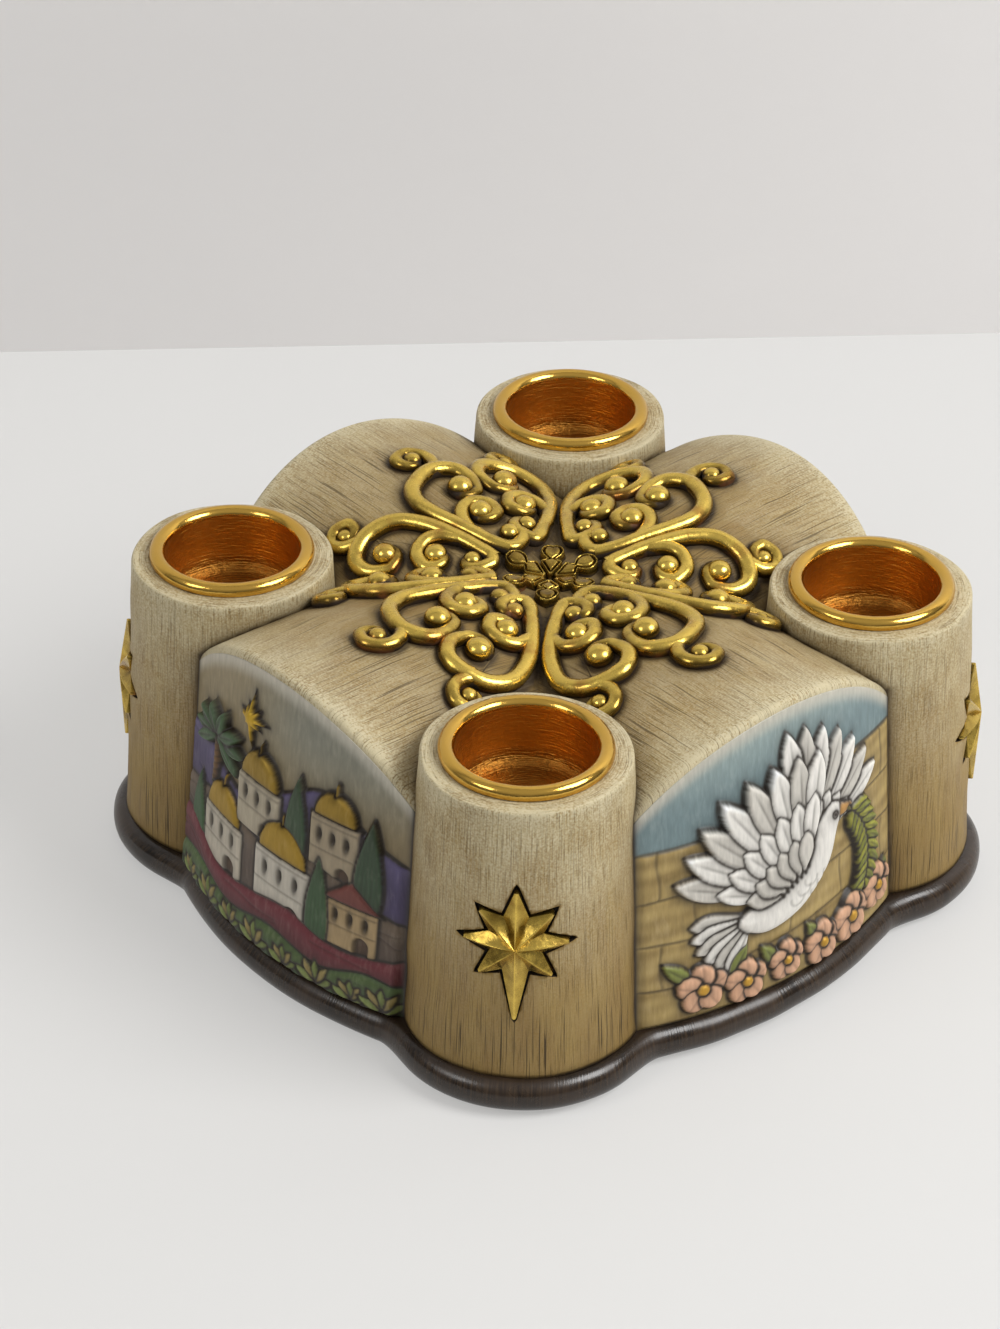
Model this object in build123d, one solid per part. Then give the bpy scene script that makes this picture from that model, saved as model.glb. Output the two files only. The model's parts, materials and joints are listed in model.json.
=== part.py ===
from build123d import *
import os
from math import cos, hypot, radians, sin, sqrt, tan

# Advent candle holder: four candle towers round a cushion-topped body on a dark plinth.
# Millimetres, +Z up. The origin is under the centre, on the surface that the holder stands on.
# The towers stand on the diagonals and the four arched sides face +X, +Y, -X and -Y.

# Layout
tower_spacing = 80.0            # between the axes of neighbouring towers
tower_offset = tower_spacing / 2
quarter_turn = 90               # degrees from one side, or one tower, to the next
cut_overrun = 4.0               # how far a cut runs past the piece that it cuts
glue_gap = 0.15                 # bond line between the cast pieces

# Felt pads, let into the underside of the plinth
pad_radius = 11.0
pad_thickness = 1.6
pad_recess = 1.0
pad_clearance = 0.25

# Plinth, with a half-round edge
plinth_thickness = 6.4
plinth_overhang = 2.6
plinth_edge_round = 3.0
plinth_notch_round = 7.0
boss_height = 2.0               # register that centres the hollow body
boss_clearance = 0.3
plinth_foot = pad_thickness - pad_recess
plinth_top = plinth_foot + plinth_thickness

# Body: sides bowed in plan and leaning in, top of four arched lobes round a dished centre
side_reach = 64.5               # centre to the middle of a side, at the plinth
side_bow_radius = 80.0
side_lean = 5.0                 # degrees
ridge_height = 55.0             # plinth to the top of an arched side
arch_radius = 41.0
lobe_half_share = 0.95          # of the arch's radius, out to where the towers hide it
dish_depth = 6.0
dish_radius = 45.0
dish_station_shares = (0, 0.33, 0.67, 1)
arch_edge_round = 1.2           # worn edge between the top and the sides
cavity_radius = 28.0
cavity_height = 36.0
ridge_level = plinth_top + ridge_height

# Towers, tapered round posts
tower_foot_radius = 20.8
tower_top_radius = 17.8
tower_height = 52.1
tower_edge_round = 0.8
tower_top = plinth_top + tower_height

# Candle cups, drawn from sheet metal with a rolled rim that rests on the tower
candle_diameter = 22.2
candle_clearance = 0.78
cup_wall = 0.8
cup_depth = 12.5
cup_rim_width = 2.8
cup_rim_height = 2.1
cup_corner_round = 1.4
socket_clearance = 0.3
socket_floor_gap = 0.5
cup_bore_radius = candle_diameter / 2 + candle_clearance
cup_outer_radius = cup_bore_radius + cup_wall
cup_rim_radius = cup_bore_radius + cup_rim_width
cup_rim_top = tower_top + cup_rim_height
cup_floor = cup_rim_top - cup_depth
cup_foot = cup_floor - cup_wall

# Faceted eight-point stars, one let into the outer face of each tower
star_height = 26.0              # plinth to the star's middle
star_up_ray = 11.2
star_down_ray = 14.2
star_side_ray = 9.3
star_diagonal_ray = 8.9
star_valley_radius = 5.5
star_relief = 2.0               # at the middle, above the tower's face
star_edge_relief = 0.5          # along the outline
star_setting = 1.2              # depth of the bed cut for it
star_bed_gap = 0.6              # dark line left round the star

# Relief panels, let into the four sides
panel_thickness = 2.0
panel_side_margin = 1.3         # body left standing between a panel and the towers
panel_arch_margin = 2.2
panel_sill = 1.2
panel_relief = 1.6

# Scrollwork on the lobes: tubes, beads and curls in low relief
scroll_reach = tower_offset     # the scrollwork runs out as far as the tower axes
scroll_width = 2.1
scroll_gap = 0.1                # between scrolls that run side by side
scroll_clearance = 0.3          # from the towers and the rosette
scroll_relief = 1.9
bead_radius = 1.75
bead_lift = 0.8
curl_bead_radius = 1.5

# Floriated rosette in the dished centre
rosette_radius = 9.2
rosette_arm_width = 1.6
rosette_leaf_radius = 1.4
rosette_shoulder_radius = 1.35  # where each arm swells, halfway out
rosette_hub_radius = 1.6
rosette_relief = 1.3
rosette_arms = 6
rosette_turn = 15.0             # two of the arms point along a tower diagonal

# Scroll lines in a lobe, as shares of the scroll's reach: outwards, then towards the front or back tower
ridge_scroll_shares = {
    "spine": ((0.245, -0.025), (0.34, -0.05), (0.475, -0.09), (0.625, -0.135), (0.735, -0.15),
              (0.825, -0.108), (0.88, -0.012), (0.888, 0.078), (0.835, 0.155), (0.745, 0.165),
              (0.66, 0.135), (0.65, 0.08)),
    "hook": ((0.475, -0.08), (0.56, -0.035), (0.585, 0.035), (0.54, 0.09), (0.485, 0.085)),
    "stub": ((0.31, -0.04), (0.36, 0.05)),
    "curl": ((0.87, -0.03), (0.945, -0.062), (1.03, -0.04), (1.045, 0.025)),
    "beads": ((0.71, 0.075), (0.52, 0.03), (0.365, 0.06)),
    "curl_bead": (1.0, 0.025),
}
valley_scroll_shares = {
    "spine": ((0.245, 0.11), (0.295, 0.205), (0.38, 0.315), (0.5, 0.43), (0.64, 0.495), (0.76, 0.47),
              (0.825, 0.39), (0.835, 0.3), (0.765, 0.232), (0.66, 0.225), (0.62, 0.285)),
    "hook": ((0.44, 0.365), (0.53, 0.32), (0.552, 0.245), (0.49, 0.2)),
    "stub": ((0.3, 0.21), (0.37, 0.185)),
    "curl": ((0.8, 0.43), (0.865, 0.415), (0.93, 0.455), (0.915, 0.515)),
    "beads": ((0.675, 0.31), (0.475, 0.265), (0.37, 0.175)),
    "curl_bead": (0.875, 0.485),
}
minor_scroll_shares = {
    "spine": ((0.225, -0.105), (0.325, -0.125), (0.45, -0.16), (0.615, -0.22), (0.725, -0.305),
              (0.76, -0.43), (0.71, -0.53), (0.61, -0.515), (0.56, -0.46)),
    "hook": ((0.46, -0.165), (0.525, -0.245), (0.52, -0.325), (0.445, -0.37), (0.385, -0.34)),
    "stub": ((0.28, -0.12), (0.29, -0.2)),
    "curl": ((0.76, -0.45), (0.815, -0.525), (0.885, -0.51), (0.89, -0.455)),
    "beads": ((0.57, -0.42), (0.42, -0.305), (0.29, -0.205)),
    "curl_bead": (0.85, -0.465),
}

# Relief outlines, as shares of the panel's half width (across) and of its arch height (up)
dove_shares = ((-0.62, 0.3), (-0.3, 0.36), (-0.02, 0.42), (0.22, 0.55), (0.36, 0.6), (0.44, 0.55),
               (0.37, 0.5), (0.3, 0.36), (0.02, 0.26), (-0.34, 0.22))
dove_wing_shares = ((-0.2, 0.4), (-0.5, 0.62), (-0.62, 0.8), (-0.34, 0.84), (0.02, 0.7), (0.16, 0.5))
blossom_shares = ((-0.66, 0.12), (-0.4, 0.1), (0.62, 0.12), (0.38, 0.1))
blossom_radius_share = 0.12
house_shares = ((-0.66, 0.3, 0.3, 0.2), (-0.2, 0.36, 0.34, 0.28),
                (0.24, 0.3, 0.3, 0.2), (0.64, 0.34, 0.28, 0.26))
hill_shares = ((-0.95, 0.06), (-0.95, 0.24), (-0.4, 0.36), (0.1, 0.27),
               (0.55, 0.34), (0.95, 0.22), (0.95, 0.06))
lantern_shares = ((0, 0.36, 0.42, 0.4), (0, 0.14, 0.56, 0.06), (0, 0.58, 0.54, 0.05))
lantern_roof_shares = ((-0.25, 0.6), (-0.08, 0.76), (0.08, 0.76), (0.25, 0.6))
leaf_shares = ((-0.52, 0.14), (-0.72, 0.24), (0.52, 0.14), (0.72, 0.24))
leaf_length_share = 0.34
leaf_width_share = 0.14
bell_shares = ((-0.3, 0.0), (-0.26, 0.06), (-0.17, 0.2), (-0.12, 0.34), (0, 0.4),
               (0.12, 0.34), (0.17, 0.2), (0.26, 0.06), (0.3, 0.0))
bell_place_shares = ((-0.36, 0.24), (0.36, 0.24))
bow_shares = ((-0.3, 0.74), (0.3, 0.74))
bow_length_share = 0.5
bow_width_share = 0.2

side_names = ("front_right", "back_right", "back_left", "front_left")
tower_names = ("right", "back", "left", "front")


def side_end(level):
    # how far from its middle the back of a panel would meet the towers beside it, at one level
    rise = level - plinth_top
    centre = side_reach - panel_thickness - tan(radians(side_lean)) * rise - side_bow_radius
    radius = tower_foot_radius + (tower_top_radius - tower_foot_radius) * rise / tower_height
    span = hypot(tower_offset - centre, tower_offset)
    along = (side_bow_radius**2 - radius**2 + span**2) / (2 * span)
    off = sqrt(side_bow_radius**2 - along**2)
    return (along * tower_offset - off * (tower_offset - centre)) / span


# a panel is let into a lobe's wall, between the towers
lobe_half_width = lobe_half_share * arch_radius
panel_half_width = min(side_end(plinth_top), side_end(tower_top), lobe_half_width) - panel_side_margin


def ridge_at(reach):
    # level of a lobe's ridge, which falls into the dish near the centre
    return ridge_level - dish_depth * max(0, 1 - reach / dish_radius) ** 2


def top_at(reach, across):
    # level of a lobe's surface beside its ridge
    return ridge_at(reach) - arch_radius + sqrt(arch_radius**2 - across**2)


def arch_section(reach, lift):
    half = lobe_half_width
    foot = plinth_top - cut_overrun
    shoulder = top_at(reach, half) + lift
    outline = Polyline((-half, shoulder), (-half, foot), (half, foot), (half, shoulder))
    outline += ThreePointArc((half, shoulder), (0, ridge_at(reach) + lift), (-half, shoulder))
    station = Plane(origin=(reach, 0, 0), x_dir=(0, 1, 0), z_dir=(1, 0, 0))
    return station * make_face(outline)


def lobe(lift):
    stations = [share * dish_radius for share in dish_station_shares]
    stations.append(side_reach + plinth_overhang + cut_overrun)
    return loft([arch_section(reach, lift) for reach in stations])


def quarter(apex):
    # the +X quarter of the plan, between the diagonals through a point on the X axis
    reach = side_reach + plinth_overhang + cut_overrun
    return make_face(Polyline((apex, 0), (reach, apex - reach), (reach, reach - apex), close=True))


def cushion(lift):
    # four lobes, each kept to its own quarter, so that they meet in creases on the diagonals
    wedge = extrude(Pos(0, 0, -cut_overrun) * quarter(0), ridge_level + lift + 2 * cut_overrun)
    one = lobe(lift) & wedge
    whole = one
    for turn in range(1, len(side_names)):
        whole += Rot(0, 0, turn * quarter_turn) * one
    return whole


def bowed_square(reach):
    outline = None
    for turn in range(len(side_names)):
        disc = Rot(0, 0, turn * quarter_turn) * Pos(reach - side_bow_radius, 0) * Circle(side_bow_radius)
        outline = disc if outline is None else outline & disc
    return outline


def leaning_block(grow):
    # the body's side faces, moved out by grow, from under the plinth's top to over the ridge
    low = plinth_top - cut_overrun
    high = ridge_level + cut_overrun
    slope = tan(radians(side_lean))
    faces = [Pos(0, 0, level) * bowed_square(side_reach + grow - slope * (level - plinth_top))
             for level in (low, high)]
    return loft(faces, ruled=True)


def tower_cone(grow):
    # along the tower's own taper, from the plinth up to its top
    return Cone(tower_foot_radius + grow, tower_top_radius + grow, tower_height,
                align=(Align.CENTER, Align.CENTER, Align.MIN))


def at_towers(piece):
    # a piece made round the right tower's axis, with +X outwards, set at each tower in turn
    corner = Pos(tower_offset, tower_offset, 0) * Rot(0, 0, quarter_turn / 2)
    return [Rot(0, 0, turn * quarter_turn) * corner * piece for turn in range(len(tower_names))]


def star_outline(bed):
    # the ray tips and the valleys between them, as (across, up) from the star's middle
    side = star_side_ray + bed
    diagonal = star_diagonal_ray + bed
    rays = (side, diagonal, star_up_ray + bed, diagonal, side, diagonal, star_down_ray + bed, diagonal)
    step = 360 / (2 * len(rays))
    points = []
    for number, ray in enumerate(rays):
        tip = radians(2 * number * step)
        valley = radians((2 * number + 1) * step)
        points.append((ray * cos(tip), ray * sin(tip)))
        points.append(((star_valley_radius + bed) * cos(valley), (star_valley_radius + bed) * sin(valley)))
    return points


def on_tower(across, up, proud):
    # a point on the tower's face, beside the star's middle
    level = star_height + up
    radius = tower_foot_radius + (tower_top_radius - tower_foot_radius) * level / tower_height
    return Vector(sqrt(radius**2 - across**2) + proud, across, plinth_top + level)


def facet_ring(outline, proud, peak):
    # triangles from each stretch of the outline to one middle point
    ring = [on_tower(across, up, proud) for across, up in outline]
    following = ring[1:] + ring[:1]
    return [Face(Wire.make_polygon([start, end, peak])) for start, end in zip(ring, following)]


def side_wall(outline, outer, inner):
    ring = [(on_tower(across, up, outer), on_tower(across, up, inner)) for across, up in outline]
    following = ring[1:] + ring[:1]
    walls = []
    for (top, foot), (next_top, next_foot) in zip(ring, following):
        walls.append(Face(Wire.make_polygon([top, next_top, next_foot])))
        walls.append(Face(Wire.make_polygon([top, next_foot, foot])))
    return walls


def faceted(outline, front, front_peak, back):
    middle = on_tower(0, 0, 0)
    shell = facet_ring(outline, front, middle + Vector(front_peak, 0, 0))
    shell += side_wall(outline, front, back)
    shell += facet_ring(outline, back, middle + Vector(back, 0, 0))
    return Solid(Shell(shell))


def plinth():
    foot = bowed_square(side_reach)
    for corner in at_towers(Circle(tower_foot_radius)):
        foot += corner
    foot = fillet(foot.vertices(), plinth_notch_round)
    slab = extrude(offset(foot, plinth_overhang), plinth_thickness)
    rims = slab.faces().sort_by(Axis.Z)
    slab = fillet(rims[0].edges() + rims[-1].edges(), plinth_edge_round)
    slab = Pos(0, 0, plinth_foot) * slab
    low = Align.CENTER, Align.CENTER, Align.MIN
    slab += Pos(0, 0, plinth_top) * Cylinder(cavity_radius - boss_clearance, boss_height, align=low)
    recess = Pos(0, 0, plinth_foot - cut_overrun) * Cylinder(pad_radius + pad_clearance,
                                                            pad_recess + cut_overrun, align=low)
    for cut in at_towers(recess):
        slab -= cut
    return slab


def felt_pad():
    return Cylinder(pad_radius, pad_thickness, align=(Align.CENTER, Align.CENTER, Align.MIN))


def tower():
    post = tower_cone(0)
    post = fillet(post.faces().sort_by(Axis.Z)[-1].edges(), tower_edge_round)
    post = Pos(0, 0, plinth_top) * post
    socket_floor = cup_foot - socket_floor_gap
    socket = Cylinder(cup_outer_radius + socket_clearance, tower_top + cut_overrun - socket_floor,
                      align=(Align.CENTER, Align.CENTER, Align.MIN))
    post -= Pos(0, 0, socket_floor) * socket
    return post - faceted(star_outline(star_bed_gap), cut_overrun, cut_overrun, -star_setting)


def star():
    return faceted(star_outline(0), star_edge_relief, star_relief, glue_gap - star_setting)


def candle_cup():
    rim_round = cup_rim_width / 2
    shoulder = cup_rim_top - rim_round
    section = Polyline((cup_bore_radius, shoulder), (cup_bore_radius, cup_floor),
                       (0, cup_floor), (0, cup_foot),
                       (cup_outer_radius, cup_foot), (cup_outer_radius, tower_top),
                       (cup_rim_radius, tower_top), (cup_rim_radius, shoulder))
    section += ThreePointArc((cup_rim_radius, shoulder), (cup_bore_radius + rim_round, cup_rim_top),
                             (cup_bore_radius, shoulder))
    shell = revolve(Plane.XZ * make_face(section), Axis.Z)
    inner_corner = shell.edges().filter_by(GeomType.CIRCLE).group_by(Axis.Z)[1]
    shell = fillet(inner_corner, cup_corner_round)
    outer_corner = shell.edges().filter_by(GeomType.CIRCLE).group_by(Axis.Z)[0]
    return fillet(outer_corner, cup_corner_round + cup_wall)


def window(grow):
    # arched opening of a relief panel, as a prism out through the +X side
    arch = arch_radius - panel_arch_margin + grow
    sill = plinth_top + panel_sill - grow
    half = panel_half_width + grow
    shoulder = ridge_level - arch_radius + sqrt(arch**2 - half**2)
    outline = Polyline((-half, shoulder), (-half, sill), (half, sill), (half, shoulder))
    outline += ThreePointArc((half, shoulder), (0, ridge_level - arch_radius + arch), (-half, shoulder))
    return outwards(make_face(outline))


def outwards(face):
    # from a drawing in the panel's own plane, across and up, to a prism through the +X side
    reach = side_reach + panel_relief + cut_overrun
    return extrude(Plane.YZ * face, reach)


def panel_point(across_share, up_share):
    sill = plinth_top + panel_sill
    arch_height = ridge_level - panel_arch_margin - sill
    return across_share * panel_half_width, sill + up_share * arch_height


def blob(shares):
    return make_face(Spline(*[panel_point(*share) for share in shares], periodic=True))


def plate(shares):
    return make_face(Polyline(*[panel_point(*share) for share in shares], close=True))


def block(across, up, width, height):
    left = across - width / 2
    right = across + width / 2
    return plate(((left, up), (right, up), (right, up + height), (left, up + height)))


def petal(across, up, length_share, width_share, tilt):
    half_length = length_share * panel_half_width / 2
    half_width = width_share * panel_half_width / 2
    return Pos(*panel_point(across, up)) * Rot(0, 0, tilt) * Ellipse(half_length, half_width)


def dove_motif():
    shapes = [blob(dove_shares), blob(dove_wing_shares)]
    radius = blossom_radius_share * panel_half_width
    return shapes + [Pos(*panel_point(*place)) * Circle(radius) for place in blossom_shares]


def town_motif():
    shapes = [plate(hill_shares)]
    for across, up, width, height in house_shares:
        shapes.append(block(across, up - height / 2, width, height))
        shapes.append(Pos(*panel_point(across, up + height / 2)) * Circle(width * panel_half_width / 2))
    return shapes


def lantern_motif():
    shapes = [block(across, up - height / 2, width, height) for across, up, width, height in lantern_shares]
    shapes.append(plate(lantern_roof_shares))
    tilt = quarter_turn / 3
    for across, up in leaf_shares:
        shapes.append(petal(across, up, leaf_length_share, leaf_width_share, tilt if across > 0 else -tilt))
    return shapes


def bell_motif():
    shapes = []
    for across, up in bell_place_shares:
        shapes.append(plate([(across + point[0], up + point[1]) for point in bell_shares]))
    tilt = quarter_turn / 4
    for across, up in bow_shares:
        shapes.append(petal(across, up, bow_length_share, bow_width_share, tilt if across > 0 else -tilt))
    return shapes


def relief_panel(motif):
    opening = window(0)
    board = (opening & leaning_block(0)) - leaning_block(-panel_thickness)
    raised = opening & leaning_block(panel_relief)
    raised -= leaning_block(-panel_thickness / 2)
    drawing = None
    for shape in motif:
        drawing = shape if drawing is None else drawing + shape
    return board + (raised & outwards(drawing))


def scroll_place(share):
    return share[0] * scroll_reach, -share[1] * scroll_reach


def scroll_drawing(shares, grow):
    # plan of one scroll: its tubes, their round ends and its beads
    width = scroll_width + 2 * grow
    drawing = None
    for name in ("spine", "hook", "stub", "curl"):
        points = [scroll_place(share) for share in shares[name]]
        path = Spline(*points) if len(points) > 2 else Line(*points)
        band = trace(path, line_width=width)
        for end in (points[0], points[-1]):
            band += Pos(*end) * Circle(width / 2)
        drawing = band if drawing is None else drawing + band
    for bead in shares["beads"]:
        drawing += Pos(*scroll_place(bead)) * Circle(bead_radius + grow)
    return drawing + Pos(*scroll_place(shares["curl_bead"])) * Circle(curl_bead_radius + grow)


def scroll(shares, neighbours, relief_layer, bed):
    drawing = scroll_drawing(shares, 0)
    for other in neighbours:
        drawing -= scroll_drawing(other, scroll_gap)
    solid = extrude(drawing, ridge_level + cut_overrun) & relief_layer
    beads = [(bead, bead_radius) for bead in shares["beads"]]
    beads.append((shares["curl_bead"], curl_bead_radius))
    for bead, radius in beads:
        x, y = scroll_place(bead)
        solid += Pos(x, y, top_at(x, y) + bead_lift) * Sphere(radius)
    solid -= bed
    solid &= extrude(quarter(scroll_gap), ridge_level + 2 * cut_overrun)
    solid -= Cylinder(rosette_radius + scroll_clearance, 2 * ridge_level + 2 * cut_overrun)
    for post in at_towers(Pos(0, 0, plinth_top) * tower_cone(scroll_clearance)):
        solid -= post
    return solid


def rosette(relief_layer, bed):
    drawing = Circle(rosette_hub_radius)
    arm = Pos(rosette_radius / 2, 0) * Rectangle(rosette_radius, rosette_arm_width)
    leaf = rosette_radius - rosette_leaf_radius
    arm += Pos(leaf, 0) * Circle(rosette_leaf_radius)
    arm += Pos(rosette_radius / 2, 0) * Circle(rosette_shoulder_radius)
    for side in (-1, 1):
        arm += Pos(leaf - rosette_leaf_radius / 2, side * rosette_leaf_radius) * Circle(rosette_leaf_radius / 2)
    for turn in range(rosette_arms):
        drawing += Rot(0, 0, rosette_turn + turn * 360 / rosette_arms) * arm
    solid = extrude(drawing, ridge_level + cut_overrun) & relief_layer
    return solid - bed


def arch_edges(solid):
    # the four edges where the lobes meet the sides
    ridges = [edge for edge in solid.edges() if edge.bounding_box().max.Z > ridge_level - arch_edge_round]
    return [edge for edge in ridges if max(abs(edge.center().X), abs(edge.center().Y)) > dish_radius]


def body():
    casting = leaning_block(0) & cushion(0)
    casting = fillet(arch_edges(casting), arch_edge_round)
    casting -= extrude(Rectangle(4 * side_reach, 4 * side_reach), plinth_top)
    low = Align.CENTER, Align.CENTER, Align.MIN
    pocket = Pos(0, 0, plinth_top) * tower_cone(glue_gap)
    pocket += Pos(0, 0, tower_top) * Cylinder(tower_top_radius + glue_gap, ridge_height, align=low)
    for cut in at_towers(pocket):
        casting -= cut
    hollow = Cylinder(cavity_radius, cavity_height + cut_overrun, align=low)
    casting -= Pos(0, 0, plinth_top - cut_overrun) * hollow
    recess = window(glue_gap) - leaning_block(-panel_thickness - glue_gap)
    for turn in range(len(side_names)):
        casting -= Rot(0, 0, turn * quarter_turn) * recess
    return casting


def write(name, solid):
    export_step(solid, os.path.join("parts", name + ".step"))


os.makedirs("parts", exist_ok=True)

write("plinth_base", plinth())
write("body_casting", body())

corner_pieces = {"tower": tower(), "candle_cup": candle_cup(), "star": star(), "felt_pad": felt_pad()}
for piece_name, piece in corner_pieces.items():
    for corner_name, placed in zip(tower_names, at_towers(piece)):
        write(piece_name + "_" + corner_name, placed)

motifs = (dove_motif(), lantern_motif(), bell_motif(), town_motif())
for turn, (side_name, motif) in enumerate(zip(side_names, motifs)):
    write("relief_panel_" + side_name, Rot(0, 0, turn * quarter_turn) * relief_panel(motif))

scroll_layer = lobe(scroll_relief)
scroll_bed = lobe(glue_gap)
scroll_kinds = {"ridge": ridge_scroll_shares, "valley": valley_scroll_shares, "minor": minor_scroll_shares}
for kind, shares in scroll_kinds.items():
    neighbours = [] if kind == "ridge" else [ridge_scroll_shares]
    single = scroll(shares, neighbours, scroll_layer, scroll_bed)
    mirrored = mirror(single, Plane.XZ)
    for turn, side_name in enumerate(side_names):
        hand = mirrored if turn % 2 else single
        write("scroll_" + kind + "_" + side_name, Rot(0, 0, turn * quarter_turn) * hand)

write("centre_rosette", rosette(cushion(rosette_relief), cushion(glue_gap)))
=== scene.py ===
import bpy
import json
import math
from functools import partial
import numpy as np
from mathutils import Matrix, Vector

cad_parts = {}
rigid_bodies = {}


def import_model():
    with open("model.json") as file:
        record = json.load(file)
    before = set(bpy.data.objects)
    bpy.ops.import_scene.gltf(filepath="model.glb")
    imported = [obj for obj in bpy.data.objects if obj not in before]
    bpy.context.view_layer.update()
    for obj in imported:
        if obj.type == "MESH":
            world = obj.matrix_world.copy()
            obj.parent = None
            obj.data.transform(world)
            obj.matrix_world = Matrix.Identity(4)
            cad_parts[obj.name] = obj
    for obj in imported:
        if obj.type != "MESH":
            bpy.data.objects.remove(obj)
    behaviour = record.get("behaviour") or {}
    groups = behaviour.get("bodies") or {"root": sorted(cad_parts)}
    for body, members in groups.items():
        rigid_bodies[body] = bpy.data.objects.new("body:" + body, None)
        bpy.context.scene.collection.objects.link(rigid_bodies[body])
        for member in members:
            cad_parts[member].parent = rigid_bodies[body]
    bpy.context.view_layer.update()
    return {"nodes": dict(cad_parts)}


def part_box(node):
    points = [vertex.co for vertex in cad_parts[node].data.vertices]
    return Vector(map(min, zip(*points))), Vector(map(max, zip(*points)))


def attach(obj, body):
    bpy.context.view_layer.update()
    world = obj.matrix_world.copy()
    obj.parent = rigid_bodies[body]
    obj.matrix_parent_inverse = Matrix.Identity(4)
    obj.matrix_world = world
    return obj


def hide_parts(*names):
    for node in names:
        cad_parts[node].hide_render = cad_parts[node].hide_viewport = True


# Advent candle holder: dry-brushed stone resin, gilt scrollwork, painted side reliefs, brass candle cups.
# All sizes below are millimetres in the holder's own frame; meshes are made in metres.

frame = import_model()
mm = 0.001
scene = bpy.context.scene
sideTurns = {"front_right": 0, "back_right": 1, "back_left": 2, "front_left": 3}
towerTurns = {"right": 0, "back": 1, "left": 2, "front": 3}


def boxOf(node):
    low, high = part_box(node)
    return np.array(low) / mm, np.array(high) / mm


bodyLow, bodyHigh = boxOf("body_casting")
towerLow, towerHigh = boxOf("tower_right")
cupLow, cupHigh = boxOf("candle_cup_right")
plinthLow = boxOf("plinth_base")[0]
padLow, padHigh = boxOf("felt_pad_right")
towerSpot = (cupLow[0] + cupHigh[0]) / 2     # a tower's axis, the same in x and y
towerFoot = (towerHigh[0] - towerLow[0]) / 2
towerTop = towerHigh[2]
deck = bodyLow[2]                            # top of the plinth, where body and towers stand
ridge = bodyHigh[2]
sideReach = bodyHigh[0]
print("frame:", len(frame["nodes"]), "nodes, towers at", round(towerSpot, 2), "mm")


# Small tools

def linear(hexColour):
    # sRGB hex to linear colour
    parts = [int(hexColour[i:i + 2], 16) / 255 for i in (1, 3, 5)]
    return [p / 12.92 if p <= 0.04045 else ((p + 0.055) / 1.055) ** 2.4 for p in parts] + [1.0]


def setInputs(node, inputs):
    # a node's sockets, each set to a value or linked to another node's socket
    for socket, value in inputs.items():
        if isinstance(value, bpy.types.NodeSocket):
            node.id_data.links.new(value, node.inputs[socket])
        else:
            node.inputs[socket].default_value = value


def addNode(tree, kind, inputs=None, stops=(), **settings):
    # one node with its settings, the colour stops of a ramp, and its sockets
    node = tree.nodes.new(kind)
    for name, value in settings.items():
        setattr(node, name, value)
    if stops:
        marks = node.color_ramp.elements
        for mark, (spot, colour) in ((marks[0], stops[0]), (marks[1], stops[-1])):
            mark.position = spot
            mark.color = linear(colour)
        for spot, colour in stops[1:-1]:
            marks.new(spot).color = linear(colour)
    setInputs(node, inputs or {})
    return node


def smooth(low, high, value):
    t = np.clip((value - low) / (high - low), 0, 1)
    return t * t * (3 - 2 * t)


def fadeOff(gap, share, reach):
    # an effect that is strongest at an edge and dies away with the distance from it
    return share * np.exp(-np.maximum(gap, 0) / reach)


def outFrom(spot, degrees, across, up=None):
    # the point reached from a spot at an angle, with a reach of its own upwards where one is given
    turn = math.radians(degrees)
    return spot[0] + across * math.cos(turn), spot[1] + (across if up is None else up) * math.sin(turn)


def turned(points, degrees):
    c, s = math.cos(math.radians(degrees)), math.sin(math.radians(degrees))
    x, y, z = points[:, 0], points[:, 1], points[:, 2]
    return np.stack([c * x - s * y, s * x + c * y, z], 1)


def atTower(points, turn):
    # from a tower's own axes, +X outwards, to its corner of the holder
    out = turned(points, 45) + np.array([towerSpot, towerSpot, 0])
    return turned(out, 90 * turn)


def gridFaces(rows, columns, wrap):
    # quads of a grid of points laid out row by row, outwards for columns that run anticlockwise going up
    r = np.arange(rows - 1)[:, None]
    c = np.arange(columns if wrap else columns - 1)[None, :]
    d = (c + 1) % columns
    quads = np.stack([r * columns + c, r * columns + d, (r + 1) * columns + d, (r + 1) * columns + c], -1)
    return quads.reshape(-1, 4)


def endFans(count, low, first, high, last):
    # triangles that close a shell, from its low and high middle points to its first and last ring
    faces = []
    for i in range(count):
        j = (i + 1) % count
        faces += [[low, first + j, first + i], [high, last + i, last + j]]
    return faces


def makePiece(name, points, faces, material, attributes=None, uv=None, soft=True):
    # faces is a list of index lists, uv one pair per face corner in millimetres
    mesh = bpy.data.meshes.new(name)
    mesh.from_pydata((points * mm).tolist(), [], [list(map(int, f)) for f in faces])
    for key, values in (attributes or {}).items():
        kind = "FLOAT" if values.ndim == 1 else "FLOAT_COLOR"
        data = mesh.attributes.new(key, kind, "POINT").data
        data.foreach_set("value" if values.ndim == 1 else "color", values.astype(np.float32).ravel())
    if uv is not None:
        mesh.uv_layers.new(name="grain").data.foreach_set("uv", uv.astype(np.float32).ravel())
    mesh.polygons.foreach_set("use_smooth", [soft] * len(mesh.polygons))
    mesh.update()
    piece = bpy.data.objects.new(name, mesh)
    scene.collection.objects.link(piece)
    mesh.materials.append(material)
    return piece


def settle(piece, nodes, body="holder"):
    # the piece rides on its body and stands for its CAD nodes
    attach(piece, body)
    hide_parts(*nodes)


def flatten(piece):
    # the evaluated shape becomes the piece's own mesh, and its modifiers go
    depsgraph = bpy.context.evaluated_depsgraph_get()
    mesh = bpy.data.meshes.new_from_object(piece.evaluated_get(depsgraph))
    piece.modifiers.clear()
    piece.data = mesh
    return piece


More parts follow.
